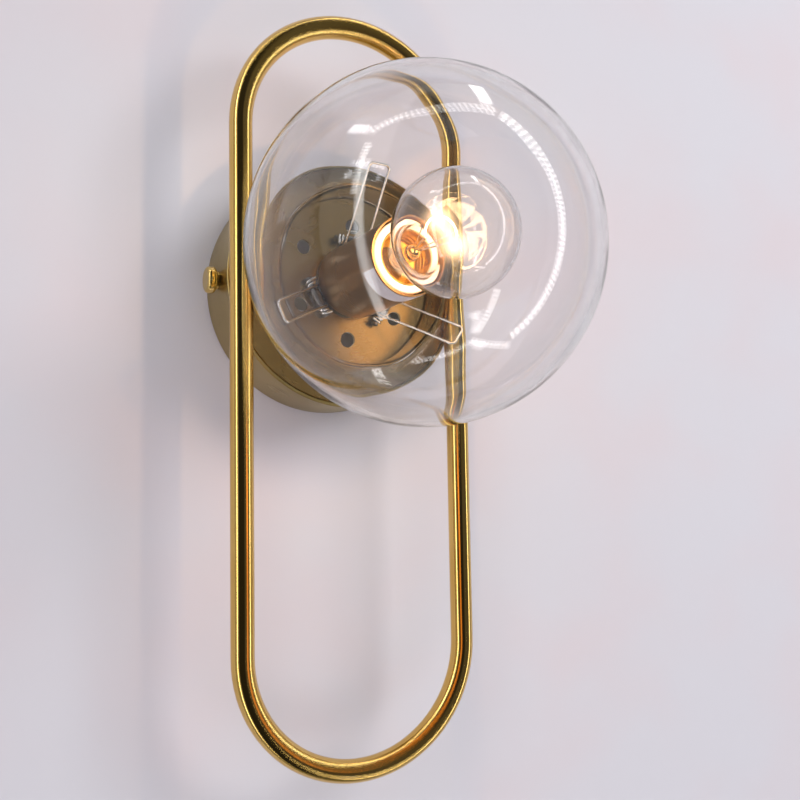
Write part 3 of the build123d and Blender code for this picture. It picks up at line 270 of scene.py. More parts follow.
@dataclass(frozen=True)
class Metal:
    """A bare, plated or lacquered metal with fine lines, duller patches and some dust."""

    name: str
    pale: Colour
    deep: Colour
    roughness: float
    dulling: float = 0.08
    grain: Grain = Grain.PLAIN
    stretch: Point = (1.0, 1.0, 1.0)
    lines: float = 900.0
    relief: float = 0.05
    coat: float = 0.0
    dust: float = 0.0
    hairlines: float = 0.0
    smears: float = 32.0
    dust_scale: float = 420.0
    dust_size: float = 0.055
    dust_patches: float = 30.0
    dust_colour: Colour = (0.62, 0.58, 0.5)
    hairline_scale: float = 9000.0
    line_depth: float = 0.2 * MM
    smoothest: float = 0.03
    coat_roughness: float = 0.06

    def material(self) -> bpy.types.Material:
        """Builds the material."""
        made, shading = new_shading(self.name)
        place = shading.place()
        course = self._course(shading, place)
        lines = shading.noise(course, self.lines, 3.0, 0.7)
        smears = shading.noise(place, self.smears, 2.0, 0.5).rise(0.25, 0.8)
        colour = shading.blend(smears * 0.6 + lines * 0.4, self.pale, self.deep)
        rough = self.roughness + (smears - 0.5) * self.dulling + (lines - 0.5) * self.dulling * 0.5
        if self.dust:
            specks = shading.specks(place, self.dust_scale, self.dust_size)
            specks = specks * shading.noise(place, self.dust_patches).rise(0.45, 0.6)
            colour = shading.blend(specks * self.dust, colour, self.dust_colour)
            rough = rough + specks * (self.dust * 0.5)
        values = {
            "Base Color": colour,
            "Metallic": 1.0,
            "Roughness": rough.most(self.smoothest),
            "Coat Weight": self.coat,
            "Coat Roughness": self.coat_roughness,
            "Normal": shading.relief(lines, self.relief, self.line_depth),
        }
        if self.hairlines:
            values["Normal"] = self._hairline_normal(shading, place)
        shading.show(shading.node("ShaderNodeBsdfPrincipled", values=values))
        return made

    def _hairline_normal(self, shading: Shading, place: Field) -> Field:
        """The normal of a tube polished round its girth, which draws highlights out along it."""
        x, _, z = shading.split(place)
        height = z - LOOP_MIDDLE
        past = height - height.most(-LOOP_STRAIGHT_HALF).least(LOOP_STRAIGHT_HALF)
        along = shading.vector("NORMALIZE", shading.join(past * -1.0, 0.0, x), (0.0, 0.0, 0.0))
        tilt = (shading.noise(place, self.hairline_scale, 0.0) - 0.5) * self.hairlines
        scaled = {0: along, "Scale": tilt}
        leaning = shading.node("ShaderNodeVectorMath", {"operation": "SCALE"}, scaled)
        outward = shading.node("ShaderNodeNewGeometry", out="Normal")
        return shading.vector("NORMALIZE", shading.vector("ADD", outward, leaning), (0.0, 0.0, 0.0))

    def _course(self, shading: Shading, place: Field) -> Field:
        """Coordinates on which the noise gives lines of this grain."""
        x, y, z = shading.split(place)
        if self.grain is Grain.LOOP:
            past = ((z - LOOP_MIDDLE).size() - LOOP_STRAIGHT_HALF).most(0.0)
            across = (x * x + past * past).root()
            return shading.join(across, y, z * 0.004)
        if self.grain is Grain.RINGS:
            return shading.join((x * x + z * z).root(), y, 0.0)
        return shading.vector("MULTIPLY", place, self.stretch)


@dataclass(frozen=True)
class Glass:
    """Clear glass that lets lamp light through without caustics."""

    name: str
    tint: Colour
    ior: float = 1.47
    haze: float = 0.0
    waviness: float = 0.0
    dust: float = 0.0
    haze_scale: float = 70.0
    wave_scale: float = 26.0
    wave_depth: float = 1.0 * MM
    dust_scale: float = 300.0
    dust_size: float = 0.05
    dust_patches: float = 24.0
    dust_colour: Colour = (0.9, 0.82, 0.75)

    def material(self) -> bpy.types.Material:
        """Builds the material."""
        made, shading = new_shading(self.name)
        place = shading.place()
        rough = shading.noise(place, self.haze_scale, 3.0).rise(0.5, 0.75) * self.haze
        values = {
            "Base Color": self.tint,
            "Transmission Weight": 1.0,
            "IOR": self.ior,
            "Roughness": rough,
        }
        if self.waviness:
            waves = shading.noise(place, self.wave_scale, 1.0)
            values["Normal"] = shading.relief(waves, self.waviness, self.wave_depth)
        body = shading.node("ShaderNodeBsdfPrincipled", values=values)
        if self.dust:
            specks = shading.specks(place, self.dust_scale, self.dust_size)
            specks = specks * shading.noise(place, self.dust_patches).rise(0.5, 0.62)
            speck = shading.node("ShaderNodeBsdfDiffuse", values={"Color": self.dust_colour})
            body = shading.mix(specks * self.dust, body, speck)
        clear = shading.node("ShaderNodeBsdfTransparent", values={"Color": self.tint})
        unbent = shading.ray("Is Shadow Ray").most(shading.ray("Is Diffuse Ray"))
        shading.show(shading.mix(unbent, body, clear))
        return made


@dataclass(frozen=True)
class Solid:
    """Porcelain, plastic, paper or rubber: a mottled colour and a fine surface."""

    name: str
    pale: Colour
    deep: Colour
    roughness: float
    spread: float = 0.1
    scale: float = 120.0
    relief: float = 0.1
    coat: float = 0.0
    sheen: float = 0.0
    stripe: Colour | None = None
    stripe_pitch: float = 2.0 * MM
    coat_roughness: float = 0.08
    relief_depth: float = 0.1 * MM

    def material(self) -> bpy.types.Material:
        """Builds the material."""
        made, shading = new_shading(self.name)
        place = shading.place()
        mottle = shading.noise(place, self.scale, 4.0, 0.6)
        fine = shading.noise(place, self.scale * 9, 2.0)
        colour = shading.blend(mottle.rise(0.35, 0.7), self.pale, self.deep)
        if self.stripe:
            x, y, z = shading.split(place)
            turns = (x + y * 0.8 + z * 0.9) * (2 * math.pi / self.stripe_pitch)
            colour = shading.blend(turns.wave().rise(-0.1, 0.1), colour, self.stripe)
        values = {
            "Base Color": colour,
            "Roughness": self.roughness + (mottle - 0.5) * self.spread,
            "Coat Weight": self.coat,
            "Coat Roughness": self.coat_roughness,
            "Sheen Weight": self.sheen,
            "Normal": shading.relief(fine + mottle, self.relief, self.relief_depth),
        }
        shading.show(shading.node("ShaderNodeBsdfPrincipled", values=values))
        return made


@dataclass(frozen=True)
class Glowing:
    """Hot wire, hottest towards the top and the right of its bow."""

    name: str
    hot: Colour
    warm: Colour
    strength: float
    cold: Colour = (0.2, 0.12, 0.07)
    upward: Spot = (-1.0 * MM, 4.0 * MM)
    rightward: Spot = (-7.0 * MM, 4.0 * MM)
    upward_share: float = 0.6

    def material(self) -> bpy.types.Material:
        """Builds the material."""
        made, shading = new_shading(self.name)
        x, _, z = shading.split(shading.place())
        heat = z.rise(*self.upward) * self.upward_share
        heat = heat + x.rise(*self.rightward) * (1 - self.upward_share)
        values = {
            "Base Color": self.cold,
            "Roughness": 0.5,
            "Emission Color": shading.blend(heat, self.warm, self.hot),
            "Emission Strength": self.strength,
        }
        shading.show(shading.node("ShaderNodeBsdfPrincipled", values=values))
        return made


Finish = Metal | Glass | Solid | Glowing


# ---- finishes ------------------------------------------------------------------------------------
LOOP_BRASS = Metal(
    "polished_brass_tube", (0.80, 0.54, 0.17), (0.70, 0.44, 0.11), 0.08, 0.03, Grain.LOOP,
    lines=2600.0, coat=0.2, dust=0.2, hairlines=0.8,
)
KNOB_BRASS = Metal("polished_brass_turned", (0.86, 0.64, 0.25), (0.72, 0.50, 0.16), 0.14)
SHELL_BRASS = Metal(
    "satin_brass_drum", (0.50, 0.38, 0.155), (0.42, 0.31, 0.12), 0.30, 0.06, Grain.RINGS,
    lines=1500.0, relief=0.05, dust=0.2,
)
PLATE_BRASS = Metal(
    "satin_brass_plate", (0.37, 0.25, 0.105), (0.29, 0.185, 0.07), 0.27, 0.05, Grain.RINGS,
    lines=1400.0, relief=0.05, dust=0.9,
)
SLEEVE_BRASS = Metal(
    "spun_brass_sleeve", (0.62, 0.36, 0.15), (0.50, 0.27, 0.10), 0.30, 0.05, Grain.RINGS,
    lines=1800.0, relief=0.05, dust=0.5,
)
# The bulb cap: brass, its colour pushed to a deep amber that is partly painted warm light from the
# filament.
CAP_BRASS_PAINTED_AMBER_LIGHT = Metal("cap_brass_painted_amber_light", (0.98, 0.60, 0.15), (0.86, 0.48, 0.10), 0.3, 0.08)
RAW_BRASS = Metal("raw_brass", (0.80, 0.64, 0.32), (0.66, 0.49, 0.2), 0.22, stretch=(1.0, 0.2, 1.0))
ZINC = Metal("zinc_plated_steel", (0.56, 0.56, 0.55), (0.45, 0.45, 0.43), 0.34, 0.12, lines=400.0)
DARK_STEEL = Metal("blued_steel", (0.22, 0.20, 0.19), (0.14, 0.13, 0.12), 0.26, 0.1, lines=500.0)
SPRING_WIRE = Metal("spring_wire", (0.74, 0.73, 0.72), (0.6, 0.59, 0.58), 0.18, 0.06, lines=1500.0)
NICKEL = Metal("nickel", (0.70, 0.68, 0.64), (0.58, 0.55, 0.5), 0.16, 0.06)
CLEAR_GLOBE = Glass("clear_globe_glass", (0.975, 0.975, 0.985), 1.5, 0.02, 0.0, 0.3)
CLEAR_BULB = Glass("clear_bulb_glass", (0.985, 0.975, 0.965), 1.47, 0.0, 0.0, 0.6)
CLEAR_STEM = Glass("pressed_stem_glass", (0.97, 0.95, 0.92), 1.5, 0.15, 0.3)
PORCELAIN = Solid(
    "glazed_porcelain", (0.86, 0.84, 0.80), (0.80, 0.77, 0.72), 0.22, 0.06, 60.0, 0.02, coat=0.5,
)
STRIP = Solid("label_strip", (0.83, 0.76, 0.74), (0.78, 0.70, 0.68), 0.5, 0.1, 200.0, 0.15)
NYLON = Solid("moulded_nylon", (0.82, 0.81, 0.76), (0.75, 0.74, 0.68), 0.42, 0.08, 150.0, 0.1)
FOAM = Solid("foam_pad", (0.10, 0.10, 0.11), (0.05, 0.05, 0.05), 0.85, 0.1, 900.0, 0.5, sheen=0.2)
DARK_GLASS = Solid(
    "dark_fused_glass", (0.02, 0.02, 0.03), (0.04, 0.04, 0.05), 0.12, 0.04, 90.0, 0.03,
)
BROWN_LEAD = Solid("brown_sleeving", (0.20, 0.09, 0.045), (0.14, 0.06, 0.03), 0.4)
BLUE_LEAD = Solid("blue_sleeving", (0.03, 0.13, 0.42), (0.02, 0.09, 0.3), 0.4)
EARTH_LEAD = Solid(
    "striped_sleeving", (0.10, 0.32, 0.06), (0.08, 0.26, 0.05), 0.4, stripe=(0.72, 0.62, 0.06),
    stripe_pitch=5.0 * MM,
)
HOT_WIRE = Glowing("hot_filament", (1.0, 0.74, 0.42), (1.0, 0.42, 0.12), 25.0)


# ---- modelling -----------------------------------------------------------------------------------
class Bench:
    """Modelling by operators, one object at a time."""

    @staticmethod
    def clear() -> None:
        """Leaves edit mode and deselects everything."""
        if bpy.context.object and bpy.context.object.mode != "OBJECT":
            bpy.ops.object.mode_set(mode="OBJECT")
        bpy.ops.object.select_all(action="DESELECT")

    @classmethod
    def dot(cls, name: str, at: Point) -> bpy.types.Object:
        """Starts a mesh as one selected vertex, in edit mode."""
        cls.clear()
        bpy.ops.mesh.primitive_plane_add(size=0.01, location=at, enter_editmode=True)
        made = bpy.context.object
        made.name = name
        bpy.ops.mesh.select_all(action="SELECT")
        bpy.ops.mesh.merge(type="CENTER")
        return made

    @classmethod
    def line(cls, name: str, points: Sequence[Point]) -> bpy.types.Object:
        """Draws a chain of edges by extruding a vertex from point to point."""
        made = cls.dot(name, points[0])
        for start, end in zip(points, points[1:]):
            step = Vector(end) - Vector(start)
            bpy.ops.mesh.extrude_region_move(TRANSFORM_OT_translate={"value": step})
        return made

    @classmethod
    def spun(cls, name: str, outline: Sequence[Spot], steps: int) -> bpy.types.Object:
        """Turns an outline of (radius, depth) points round the light's axis into a closed skin.

        Args:
            name: the object's name.
            outline: points from the axis back to the axis, or a closed ring of points.
            steps: how many steps the turn has.

        Returns:
            The finished object.
        """
        made = cls.line(name, [(radius, -depth, 0.0) for radius, depth in outline])
        bpy.ops.mesh.select_all(action="SELECT")
        bpy.ops.mesh.spin(steps=steps, angle=2 * math.pi, center=(0, 0, 0), axis=(0, 1, 0))
        return cls.close(made)

    @classmethod
    def close(cls, made: bpy.types.Object, smooth: float = 40.0) -> bpy.types.Object:
        """Merges doubles, turns the faces outwards, smooths them and puts the origin at zero."""
        bpy.ops.mesh.select_all(action="SELECT")
        bpy.ops.mesh.remove_doubles(threshold=MERGE_WITHIN)
        bpy.ops.mesh.delete_loose()
        bpy.ops.mesh.select_all(action="SELECT")
        bpy.ops.mesh.normals_make_consistent(inside=False)
        bpy.ops.object.mode_set(mode="OBJECT")
        bpy.ops.object.transform_apply(location=True, rotation=True, scale=True)
        bpy.ops.object.shade_smooth_by_angle(angle=math.radians(smooth))
        return made

    @staticmethod
    def pick(chosen: Callable[[bmesh.types.BMVert], bool]) -> None:
        """Selects the vertices of the mesh in edit mode for which a test holds."""
        bpy.ops.mesh.select_all(action="DESELECT")
        mesh = bmesh.from_edit_mesh(bpy.context.object.data)
        for vertex in mesh.verts:
            vertex.select = chosen(vertex)
        mesh.select_flush(True)
        bmesh.update_edit_mesh(bpy.context.object.data)

    @classmethod
    def modify(cls, made: bpy.types.Object, kind: str, **settings: object) -> None:
        """Adds a modifier and applies it."""
        cls.clear()
        bpy.context.view_layer.objects.active = made
        made.select_set(True)
        modifier = made.modifiers.new(kind.lower(), kind)
        for name, value in settings.items():
            setattr(modifier, name, value)
        bpy.ops.object.modifier_apply(modifier=modifier.name)


def arc(centre: Spot, radius: float, start: float, end: float, count: int) -> list[Spot]:
    """Points of an arc, angles in radians, both ends included."""
    spread = [start + (end - start) * k / count for k in range(count + 1)]
    return [(centre[0] + radius * math.cos(a), centre[1] + radius * math.sin(a)) for a in spread]


def ball_on_neck(
    neck: float, blend: float, ball: float, centre: float, count: int
) -> list[Spot]:
    """A (radius, depth) line up a neck, round a blend arc and over a ball to its pole.

    Args:
        neck: the neck's radius.
        blend: the radius of the arc between neck and ball.
        ball: the ball's radius.
        centre: the ball's depth.
        count: how many steps the ball has.

    Returns:
        The points, from the end of the neck to the pole.
    """
    blend_r = neck + blend
    blend_z = centre - math.sqrt((ball + blend) ** 2 - blend_r**2)
    tilt = math.atan2(centre - blend_z, blend_r)
    curve = arc((blend_r, blend_z), blend, math.pi, math.pi - tilt, BLEND_STEPS)
    return curve + arc((0.0, centre), ball, -tilt, math.pi / 2, count)[1:]


def dress(finish: Finish, nodes: Iterable[str]) -> None:
    """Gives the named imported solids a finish."""
    material = finish.material()
    for name in nodes:
        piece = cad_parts[name]
        piece.data.materials.clear()
        piece.data.materials.append(material)
        for face in piece.data.polygons:
            face.material_index = 0
        LOG.info("%s: %s", name, finish.name)


def fit_out(piece: bpy.types.Object, finish: Finish, body: str) -> None:
    """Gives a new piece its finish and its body."""
    piece.data.materials.clear()
    piece.data.materials.append(finish.material())
    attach(piece, body)
    LOG.info("%s: %s, on %s", piece.name, finish.name, body)


def new_lamp(name: str, kind: str, at: Point, power: float, colour: Colour) -> bpy.types.Object:
    """Hangs a lamp that neither the eye nor glass sees.

    Args:
        name: the lamp's name.
        kind: POINT or AREA; an area lamp is a rectangle.
        at: where it is.
        power: its power in watts.
        colour: its colour.

    Returns:
        The lamp's object.
    """
    data = bpy.data.lights.new(name, kind)
    data.energy, data.color = power, colour
    if kind == "AREA":
        data.shape = "RECTANGLE"
    made = bpy.data.objects.new(name, data)
    made.location = at
    made.visible_camera = made.visible_transmission = False
    bpy.context.scene.collection.objects.link(made)
    return made


@dataclass(frozen=True)
class Glow:
    """A small round lamp: its place, its power in watts, its colour and its radius."""

    at: Point
    power: float
    colour: Colour
    radius: float


def small_lamp(
    name: str, glow: Glow, body: str, unlit: Iterable[bpy.types.Object],
    seen_through: bool = False,
) -> None:
    """Puts a small round lamp inside the light.

    Args:
        name: the lamp's name.
        glow: what it gives, and from where.
        body: the body it moves with.
        unlit: clear pieces that would mirror it as a disc, which it leaves out.
        seen_through: whether it shows through glass, as the brightest part of the hot wire does.
    """
    made = new_lamp(name, "POINT", glow.at, glow.power, glow.colour)
    made.data.shadow_soft_size = glow.radius
    made.visible_transmission = seen_through
    left_out = bpy.data.collections.new(name + "_leaves_out")
    for piece in unlit:
        left_out.objects.link(piece)
    for entry in left_out.collection_objects:
        entry.light_linking.link_state = "EXCLUDE"
    made.light_linking.receiver_collection = left_out
    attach(made, body)


# ---- sub-assemblies ------------------------------------------------------------------------------
class Canopy:
    """The drum on the wall with its plate, bracket and thumb screws."""

    def dress(self) -> None:
        """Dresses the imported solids."""
        dress(SHELL_BRASS, ["canopy_shell"])
        dress(PLATE_BRASS, ["front_plate"])
        dress(KNOB_BRASS, ["thumb_screw_left", "thumb_screw_right"])
        dress(ZINC, ["wall_bracket", "loop_screws", "holder_strap", "nipple_washer"])
        dress(DARK_STEEL, ["clip_carrier"])
        dress(RAW_BRASS, ["bracket_earth_screw", "loop_inserts", "holder_nipple", "earth_tag"])


@dataclass
class Loop:
    """The bent oval tube, and the bulb's light drawn out along it by the rings of its polish.

    Each gleam is (width, height, level, power) of one lamp.
    """

    gleams: tuple[tuple[float, float, float, float], ...] = (
        (24.0 * MM, 80.0 * MM, 0.0, 0.030),
        (30.0 * MM, 200.0 * MM, -30.0 * MM, 0.030),
        (34.0 * MM, 330.0 * MM, -85.0 * MM, 0.030),
    )
    gleam_colour: Colour = (1.0, 0.40, 0.10)

    def dress(self) -> None:
        """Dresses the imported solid."""
        dress(LOOP_BRASS, ["loop_tube"])

    def light(self, depth: float) -> None:
        """Hangs tall warm lamps at the bulb, which only the tube mirrors.

        Args:
            depth: how far the filament stands from the wall.
        """
        only = bpy.data.collections.new("gleam_lights_only")
        only.objects.link(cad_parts["loop_tube"])
        for number, (width, height, level, power) in enumerate(self.gleams, 1):
            at = (0.0, -depth, level)
            made = new_lamp(f"gleam_{number}", "AREA", at, power, self.gleam_colour)
            made.data.size, made.data.size_y = width, height
            made.rotation_euler = (math.pi / 2, 0.0, 0.0)
            made.light_linking.receiver_collection = only
            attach(made, "bulb")


@dataclass
class Globe:
    """The blown glass globe and the clips that hold it."""

    radius: float = 80.0 * MM
    wall: float = 2.5 * MM
    centre: float = 124.0 * MM
    neck: float = 48.0 * MM
    flare: float = 7.0 * MM
    seat: float = 38.3 * MM
    steps: int = 160
    ball_steps: int = 72
    neck_steps: int = 6
    lip_steps: int = 8
    cloud: float = 22.0 * MM
    uneven: float = 0.22 * MM
    returned: Glow = Glow((46.0 * MM, -94.0 * MM, -18.0 * MM), 0.06, (1.0, 0.62, 0.30), 30.0 * MM)

    def build(self) -> bpy.types.Object:
        """Blows the globe: two walls, joined by a rounded lip, the inner one slightly uneven."""
        outer = ball_on_neck(self.neck, self.flare, self.radius, self.centre, self.ball_steps)
        inner = ball_on_neck(
            self.neck - self.wall, self.flare + self.wall, self.radius - self.wall, self.centre,
            self.ball_steps,
        )
        lip_centre = (self.neck - self.wall / 2, self.seat + self.wall / 2)
        lip = arc(lip_centre, self.wall / 2, 0.0, -math.pi, self.lip_steps)
        outline = list(reversed(outer)) + self._neck(outer[0], lip[0]) + lip
        outline += self._neck(lip[-1], inner[0]) + inner
        globe = Bench.spun("clear_globe", outline, self.steps)
        self._unevenness(globe)
        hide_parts("glass_globe")
        fit_out(globe, CLEAR_GLOBE, "globe")
        return globe

    def _neck(self, start: Spot, end: Spot) -> list[Spot]:
        """Points along the straight neck between two ends, neither of them included."""
        length, steps = end[1] - start[1], self.neck_steps
        return [(start[0], start[1] + length * k / steps) for k in range(1, steps)]

    def _unevenness(self, globe: bpy.types.Object) -> None:
        """Makes the inside of the glass a little uneven, as blown glass is."""
        inside = globe.vertex_groups.new(name="inside")
        middle = Vector((0.0, -self.centre, 0.0))
        limit = self.radius - self.wall / 2
        chosen = [v.index for v in globe.data.vertices if (v.co - middle).length < limit]
        inside.add(chosen, 1.0, "REPLACE")
        clouds = bpy.data.textures.new("uneven_glass", "CLOUDS")
        clouds.noise_scale = self.cloud
        clouds.noise_depth = 0
        Bench.modify(
            globe, "DISPLACE", texture=clouds, strength=self.uneven, mid_level=0.5,
            vertex_group="inside", texture_coords="LOCAL",
        )

    def light(self, unlit: Iterable[bpy.types.Object]) -> None:
        """Stands for the lamplight that the glass throws back on the plate and the clips."""
        small_lamp("light_off_the_glass", self.returned, "globe", unlit)

    def dress(self) -> None:
        """Dresses the clips and their pins."""
        dress(SPRING_WIRE, ["spring_clip_top", "spring_clip_left", "spring_clip_right"])
        dress(DARK_STEEL, ["clip_pins"])


class Lampholder:
    """The sleeve, the porcelain socket and what carries them."""

    def dress(self) -> None:
        """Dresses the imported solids."""
        dress(SLEEVE_BRASS, ["lampholder_sleeve"])
        dress(STRIP, ["sleeve_label"])
        dress(PORCELAIN, ["lampholder_porcelain"])
        dress(RAW_BRASS, ["nipple_back_nut", "nipple_front_nut", "screw_shell"])
        dress(RAW_BRASS, ["centre_contact", "contact_rivets", "holder_terminals"])
        dress(ZINC, ["holder_screws", "holder_terminal_screws"])


@dataclass
class Bulb:
    """The round bulb: envelope, stem, wires and filament, and its light.

    Each lobe of the halo is (its middle in x and z, core radius, strength, fall).
    """

    radius: float = 27.5 * MM
    wall: float = 0.8 * MM
    centre: float = 151.5 * MM
    neck: float = 12.0 * MM
    blend: float = 16.0 * MM
    foot_radius: float = 11.45 * MM
    foot: float = 90.029 * MM
    narrow_to: float = 100.916 * MM
    filament_depth: float = 139.0 * MM
    filament_end: float = 7.0 * MM
    filament_bow: float = 10.0 * MM
    coil_radius: float = 0.38 * MM
    wire_radius: float = 0.09 * MM
    coil_pitch: float = 0.42 * MM
    steps: int = 96
    ball_steps: int = 48
    wire_sides: int = 6
    turn_steps: int = 10
    wire_light: Glow = Glow((1.5 * MM, -140.0 * MM, 6.0 * MM), 0.3, (1.0, 0.63, 0.32), 3.5 * MM)
    neck_light: Glow = Glow((0.0, -107.0 * MM, 0.0), 0.02, (1.0, 0.52, 0.10), 3.0 * MM)
    halo_gap: float = 1.12 * MM
    halo_colour: Colour = (1.0, 0.62, 0.34)
    halo_lost_in_mirrors: float = 0.85
    lobes: tuple[tuple[Spot, float, float, float], ...] = (
        ((-0.5 * MM, 8.5 * MM), 11.0 * MM, 560.0, 8.0),
        ((3.2 * MM, 3.6 * MM), 8.0 * MM, 420.0, 8.0),
        ((6.5 * MM, -2.0 * MM), 11.5 * MM, 560.0, 8.0),
        ((2.0 * MM, 2.0 * MM), 12.0 * MM, 7.0, 2.0),
    )

    def build(self) -> bpy.types.Object:
        """Builds the envelope, which it hands back, and the coiled filament."""
        outer = ball_on_neck(self.neck, self.blend, self.radius, self.centre, self.ball_steps)
        inner = ball_on_neck(
            self.neck - self.wall, self.blend + self.wall, self.radius - self.wall, self.centre,
            self.ball_steps,
        )
        foot_inner = self.foot_radius - self.wall
        foot = [
            (self.foot_radius, self.narrow_to),
            (self.foot_radius, self.foot),
            (foot_inner, self.foot),
            (foot_inner, self.narrow_to),
        ]
        outline = list(reversed(outer)) + foot + inner
        envelope = Bench.spun("clear_envelope", outline, self.steps)
        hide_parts("bulb_glass")
        fit_out(envelope, CLEAR_BULB, "bulb")
        coil = self._coil()
        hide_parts("bulb_filament")
        fit_out(coil, HOT_WIRE, "bulb")
        return envelope

    def _coil(self) -> bpy.types.Object:
        """Winds the filament and bends it over its bow."""
        end, bow = self.filament_end, self.filament_bow
        bend = (end**2 + bow**2) / (2 * bow)
        half_angle = math.asin(end / bend) if bow < bend else math.pi - math.asin(end / bend)
        length = 2 * bend * half_angle
        turns = round(length / self.coil_pitch)
        Bench.clear()
        bpy.ops.mesh.primitive_circle_add(
            vertices=self.wire_sides, radius=self.wire_radius, location=(self.coil_radius, 0, 0),
            rotation=(math.pi / 2, 0, 0), enter_editmode=False,
        )
        coil = bpy.context.object
        coil.name = "coiled_filament"
        bpy.ops.object.transform_apply(location=True, rotation=True, scale=True)
        Bench.modify(
            coil, "SCREW", axis="Z", angle=2 * math.pi, steps=self.turn_steps,
            render_steps=self.turn_steps, iterations=turns, screw_offset=length / turns,
            use_merge_vertices=False,
        )
        bpy.ops.object.mode_set(mode="EDIT")
        Bench.pick(lambda vertex: vertex.is_boundary)
        bpy.ops.mesh.edge_face_add()
        bpy.ops.mesh.select_all(action="SELECT")
        bpy.ops.transform.translate(value=(0, 0, -length / 2))
        bpy.ops.object.mode_set(mode="OBJECT")
        Bench.modify(
            coil, "SIMPLE_DEFORM", deform_method="BEND", deform_axis="Y", angle=2 * half_angle
        )
        coil.rotation_euler = (0, math.pi / 2, 0)
        coil.location = (0, -(self.filament_depth + self.coil_radius), bow)
        bpy.ops.object.transform_apply(location=True, rotation=True, scale=True)
        bpy.ops.object.shade_smooth()
        return coil

    def light(self, unlit: Iterable[bpy.types.Object]) -> None:
        """Puts the filament's light where it is hottest, and what of it goes down the neck."""
        small_lamp("filament_light", self.wire_light, "bulb", unlit, True)
        small_lamp("light_down_the_neck", self.neck_light, "bulb", unlit)

    def glow(self) -> None:
        """Fills the envelope with the halo that a lens sees round so bright a wire."""
        Bench.clear()
        bpy.ops.mesh.primitive_ico_sphere_add(
            subdivisions=4, radius=self.radius - self.halo_gap, location=(0, -self.centre, 0)
        )
        halo = bpy.context.object
        halo.name = "halo"
        bpy.ops.object.transform_apply(location=True, rotation=True, scale=True)
        made, shading = new_shading("halo")
        place = shading.place()
        level = 0.0
        for at, core, strength, fall in self.lobes:
            middle = (at[0], -self.filament_depth, at[1])
            away = shading.vector("DISTANCE", place, middle, "Value") / core
            level = level + strength / (1 + away * away) ** fall
        level = level * (1 - shading.mirrored() * self.halo_lost_in_mirrors)
        values = {"Color": self.halo_colour, "Strength": level}
        shading.show(shading.node("ShaderNodeEmission", values=values), volume=True)
        halo.data.materials.append(made)
        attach(halo, "bulb")

    def dress(self) -> None:
        """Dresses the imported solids."""
        dress(CAP_BRASS_PAINTED_AMBER_LIGHT, ["bulb_cap"])
        dress(NICKEL, ["bulb_contact", "bulb_lead_wires", "filament_supports"])
        dress(DARK_GLASS, ["bulb_insulator"])
        dress(CLEAR_STEM, ["bulb_stem"])


class Wiring:
    """The terminal block and the leads inside the canopy."""

    def dress(self) -> None:
        """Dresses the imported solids."""
        dress(NYLON, ["terminal_block"])
        dress(FOAM, ["block_pad"])
        dress(ZINC, ["block_screws"])
        dress(RAW_BRASS, ["block_tubes"])
        dress(BROWN_LEAD, ["live_lead"])
        dress(BLUE_LEAD, ["neutral_lead"])
        dress(EARTH_LEAD, ["earth_lead"])


# ---- studio --------------------------------------------------------------------------------------
@dataclass(frozen=True)
class Strip:
    """A long thin lamp of the room, drawn in the world as seen by gloss and glass.

    Its ends are (bearing, height) in degrees. Bearing 0 is straight out of the wall, and 90 is
    along the wall to its right.
    """

    start: Spot
    end: Spot
    width: float
    strength: float
    beads: float = 0.0

    @staticmethod
    def way(bearing: float, height: float) -> Vector:
        """The direction with this bearing and height, in degrees."""
        turn, lift = math.radians(bearing), math.radians(height)
        level = math.cos(lift)
        return Vector((math.sin(turn) * level, -math.cos(turn) * level, math.sin(lift)))


@dataclass(frozen=True)
class SoftLamp:
    """A soft area lamp of the studio: where it hangs, its size, power in watts and colour."""

    name: str
    at: Point
    size: Spot
    power: float
    colour: Colour


